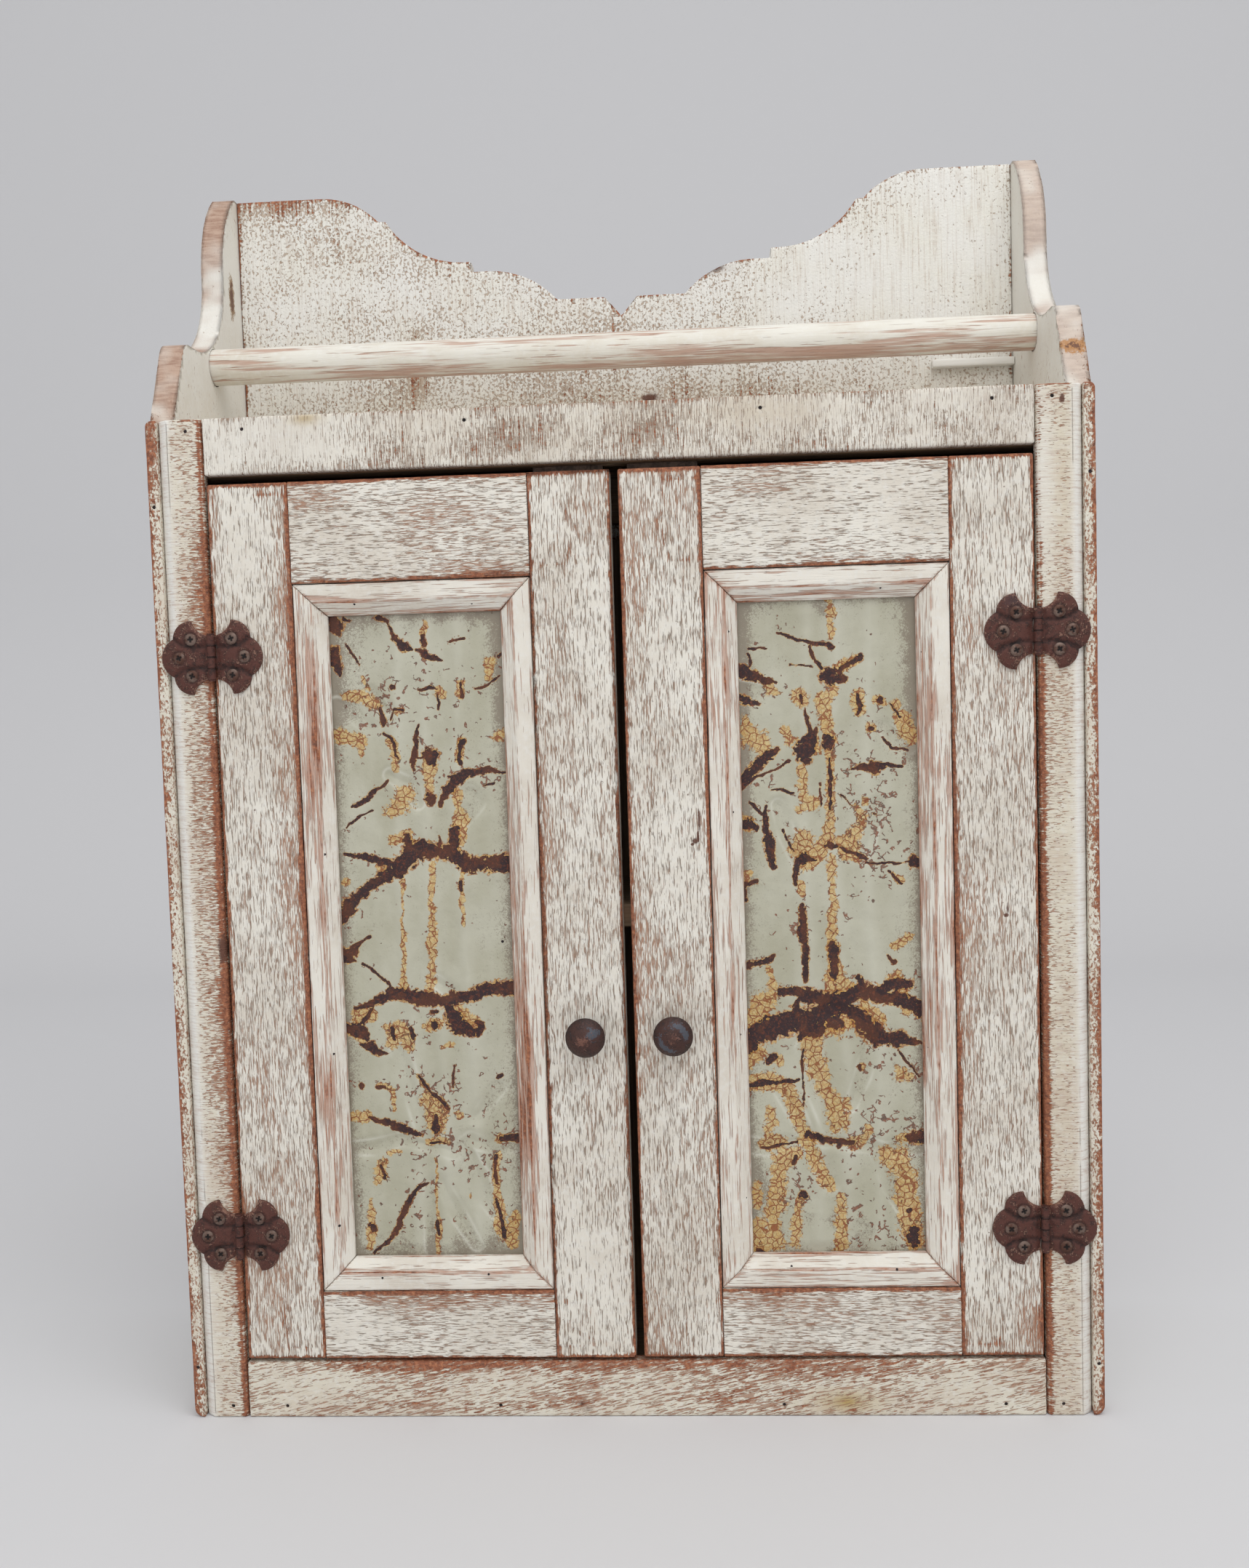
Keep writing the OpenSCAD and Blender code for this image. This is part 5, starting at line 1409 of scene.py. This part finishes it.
def knob(hand):
    """A cast knob, slightly pitted, with its scratched middle, blue grey patina and painted sheen, and
    painted shade at its rim and sides marked.
    """
    node = f"{hand}_knob"
    low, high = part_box(node)
    middle = (low + high) / 2
    bm = solid_copy(node)
    split_hollow(bm)
    cut_evenly(bm, (1.3, 1.3, 1.3))
    bm.normal_update()
    worn, patch, blackness = [], [], []
    for v in bm.verts:
        dx, dz = (v.co.x - middle.x) / MM, (v.co.z - middle.z) / MM
        r = math.hypot(dx, dz)
        front = v.co.y < low.y + 8 * MM
        if hand == "left":
            # On the left knob the blue grey patch at the upper right is a painted sheen
            blue = 0.75 * math.exp(-(((dx - 5) / 6) ** 2) - ((dz - 4) / 5) ** 2)
            rubbed = 1.3 * math.exp(-(((dx + 1) / 5) ** 2) - ((dz + 1) / 4) ** 2)
        else:
            blue = 0.85 * math.exp(-(((r - 8.5) / 2.4) ** 2)) * (0.7 + 0.3 * math.sin(math.atan2(dz, dx) * 2))
            rubbed = 0.8 * math.exp(-((r / 4.5) ** 2))
        scratch = noise.noise(Vector((dx * 0.5 + dz * 0.4, dz * 0.9 - dx * 0.7, 3.0)))
        worn.append((0.45 * rubbed + 0.25 * scratch) * front - 0.05)
        patch.append(blue * front - 0.1)
        # Painted shade: darker at the rim of the knob's face, and over its sides and back
        blackness.append(0.35 * max(0.0, r / 13 - 0.75) * 4 if front else 0.3)
        dent = 0.5 + 0.5 * noise.noise(v.co * 220) + 0.25 * noise.noise(v.co * 700)
        if v.co.y < high.y - 1e-5 and r > 2.5:
            v.co -= v.normal * 0.16 * max(0.0, dent) * MM
    show(bm, node, "knob_iron", {"worn": worn, "patch": patch, "blackness": blackness}, 50)


class CABINET_OT_small_iron(bpy.types.Operator):
    """Make the knobs and screws, and give the bolts and strikes a finish"""

    bl_idname = "cabinet.small_iron"
    bl_label = "Knobs and screws"

    def execute(self, context):
        hinge_screws("case_screws", 1, (-1, 1))
        for hand, sign in (("left", -1), ("right", 1)):
            hinge_screws(f"{hand}_door_screws", -1, (sign,))
            knob(hand)
            dress(f"{hand}_knob_bolt", "steel")
            dress(f"{hand}_strike", "steel")
        return {"FINISHED"}


# Stage, with its lengths in metres


# Half depth of the floor, how much wider it is, how far it is moved to the front, and the backdrop's bend
FLOOR_HALF, FLOOR_WIDER, FLOOR_SHIFT = 4, 2.5, -2.6
BEND_RADIUS = 0.8
BACKDROP_HIGH = 4
LAMPS_AIM = (0.0, 0.0, 0.4)
# Rows of the camera's turn, solved from the corners of the face frame and doors
CAMERA_TURN = (
    (0.997940, 0.026993, 0.058196),
    (0.056267, 0.067424, -0.996137),
    (-0.030813, 0.997359, 0.065766),
)


def backdrop(tone):
    """A floor of this colour that bends up into a wall behind."""
    f = Finish("stage_floor", roughness=0.9, specular=0.1)
    f.put(f.shader.inputs["Base Color"], tone)
    back_line = FLOOR_HALF + FLOOR_SHIFT
    bm = bmesh.new()
    bmesh.ops.create_grid(bm, x_segments=1, y_segments=1, size=FLOOR_HALF)
    bmesh.ops.scale(bm, vec=(FLOOR_WIDER, 1, 1), verts=bm.verts)
    bmesh.ops.translate(bm, vec=(0, FLOOR_SHIFT, 0), verts=bm.verts)
    back = [e for e in bm.edges if all(v.co.y > back_line - 0.1 for v in e.verts)]
    bmesh.ops.spin(
        bm, geom=back, cent=(0, back_line, BEND_RADIUS), axis=(1, 0, 0), dvec=(0, 0, 0),
        angle=math.pi / 2, steps=16, use_merge=False, use_duplicate=False,
    )
    top = [e for e in bm.edges if all(v.co.z > BEND_RADIUS - 0.01 for v in e.verts)]
    wall = bmesh.ops.extrude_edge_only(bm, edges=top)["geom"]
    bmesh.ops.translate(bm, vec=(0, 0, BACKDROP_HIGH), verts=verts_of(wall))
    floor = in_scene("floor", mesh_from(bm, "floor", f.material))


def lamp(name, place, size, power):
    """A square lamp that shines on the middle of the cabinet."""
    data = bpy.data.lights.new(name, "AREA")
    data.size = size
    data.energy = power
    aim = Vector(LAMPS_AIM) - Vector(place)
    turn = aim.to_track_quat("-Z", "Y").to_matrix().to_4x4()
    in_scene(name, data).matrix_world = Matrix.Translation(place) @ turn


class CABINET_OT_stage(bpy.types.Operator):
    """Make the pale floor, the lights and the camera"""

    bl_idname = "cabinet.stage"
    bl_label = "Stage"

    def execute(self, context):
        scene = context.scene
        stage = scene.cabinet_stage
        backdrop(stage.floor)
        world = bpy.data.worlds.new("studio")
        scene.world = world
        world.use_nodes = True
        sky = world.node_tree.nodes["Background"]
        sky.inputs["Color"].default_value = (1, 1, 1, 1)
        sky.inputs["Strength"].default_value = stage.sky
        lamp("key", (0.5, -1.0, 2.3), 1.6, stage.key)
        lamp("fill", (-0.4, -2.4, 1.0), 2.0, stage.fill)
        data = bpy.data.cameras.new("camera")
        data.sensor_width = 36
        data.lens = stage.lens
        data.clip_start = 0.01
        camera = in_scene("camera", data)
        camera.matrix_world = Matrix.Translation(stage.camera_at) @ Matrix(CAMERA_TURN).to_4x4()
        scene.camera = camera
        scene.view_settings.view_transform = "Standard"
        return {"FINISHED"}


# Sidebar and start


STEPS = (
    "finishes", "case", "face_frame", "towel_bar", "doors",
    "mouldings", "tin_panels", "hinges", "small_iron", "stage",
)
GROUPS = {
    "cabinet_paint": CabinetPaint,
    "cabinet_metal": CabinetMetal,
    "cabinet_sizes": CabinetSizes,
    "cabinet_stage": CabinetStage,
}


class CABINET_PT_panel(bpy.types.Panel):
    """Lists the cabinet's pieces and settings"""

    bl_label = "Cabinet"
    bl_space_type = "VIEW_3D"
    bl_region_type = "UI"
    bl_category = "Cabinet"

    def draw(self, context):
        for step in STEPS:
            self.layout.operator("cabinet." + step)
        for name in GROUPS:
            box = self.layout.box()
            group = getattr(context.scene, name)
            for key in group.bl_rna.properties.keys():
                if key not in ("rna_type", "name"):
                    box.prop(group, key)


CLASSES = (
    *GROUPS.values(),
    CABINET_OT_finishes,
    CABINET_OT_case,
    CABINET_OT_face_frame,
    CABINET_OT_towel_bar,
    CABINET_OT_doors,
    CABINET_OT_mouldings,
    CABINET_OT_tin_panels,
    CABINET_OT_hinges,
    CABINET_OT_small_iron,
    CABINET_OT_stage,
    CABINET_PT_panel,
)


def register():
    for made in CLASSES:
        bpy.utils.register_class(made)
    for name, group in GROUPS.items():
        setattr(bpy.types.Scene, name, PointerProperty(type=group))


def unregister():
    for name in GROUPS:
        delattr(bpy.types.Scene, name)
    for made in reversed(CLASSES):
        bpy.utils.unregister_class(made)


def main():
    register()
    for step in STEPS:
        getattr(bpy.ops.cabinet, step)()


if __name__ == "__main__":
    main()
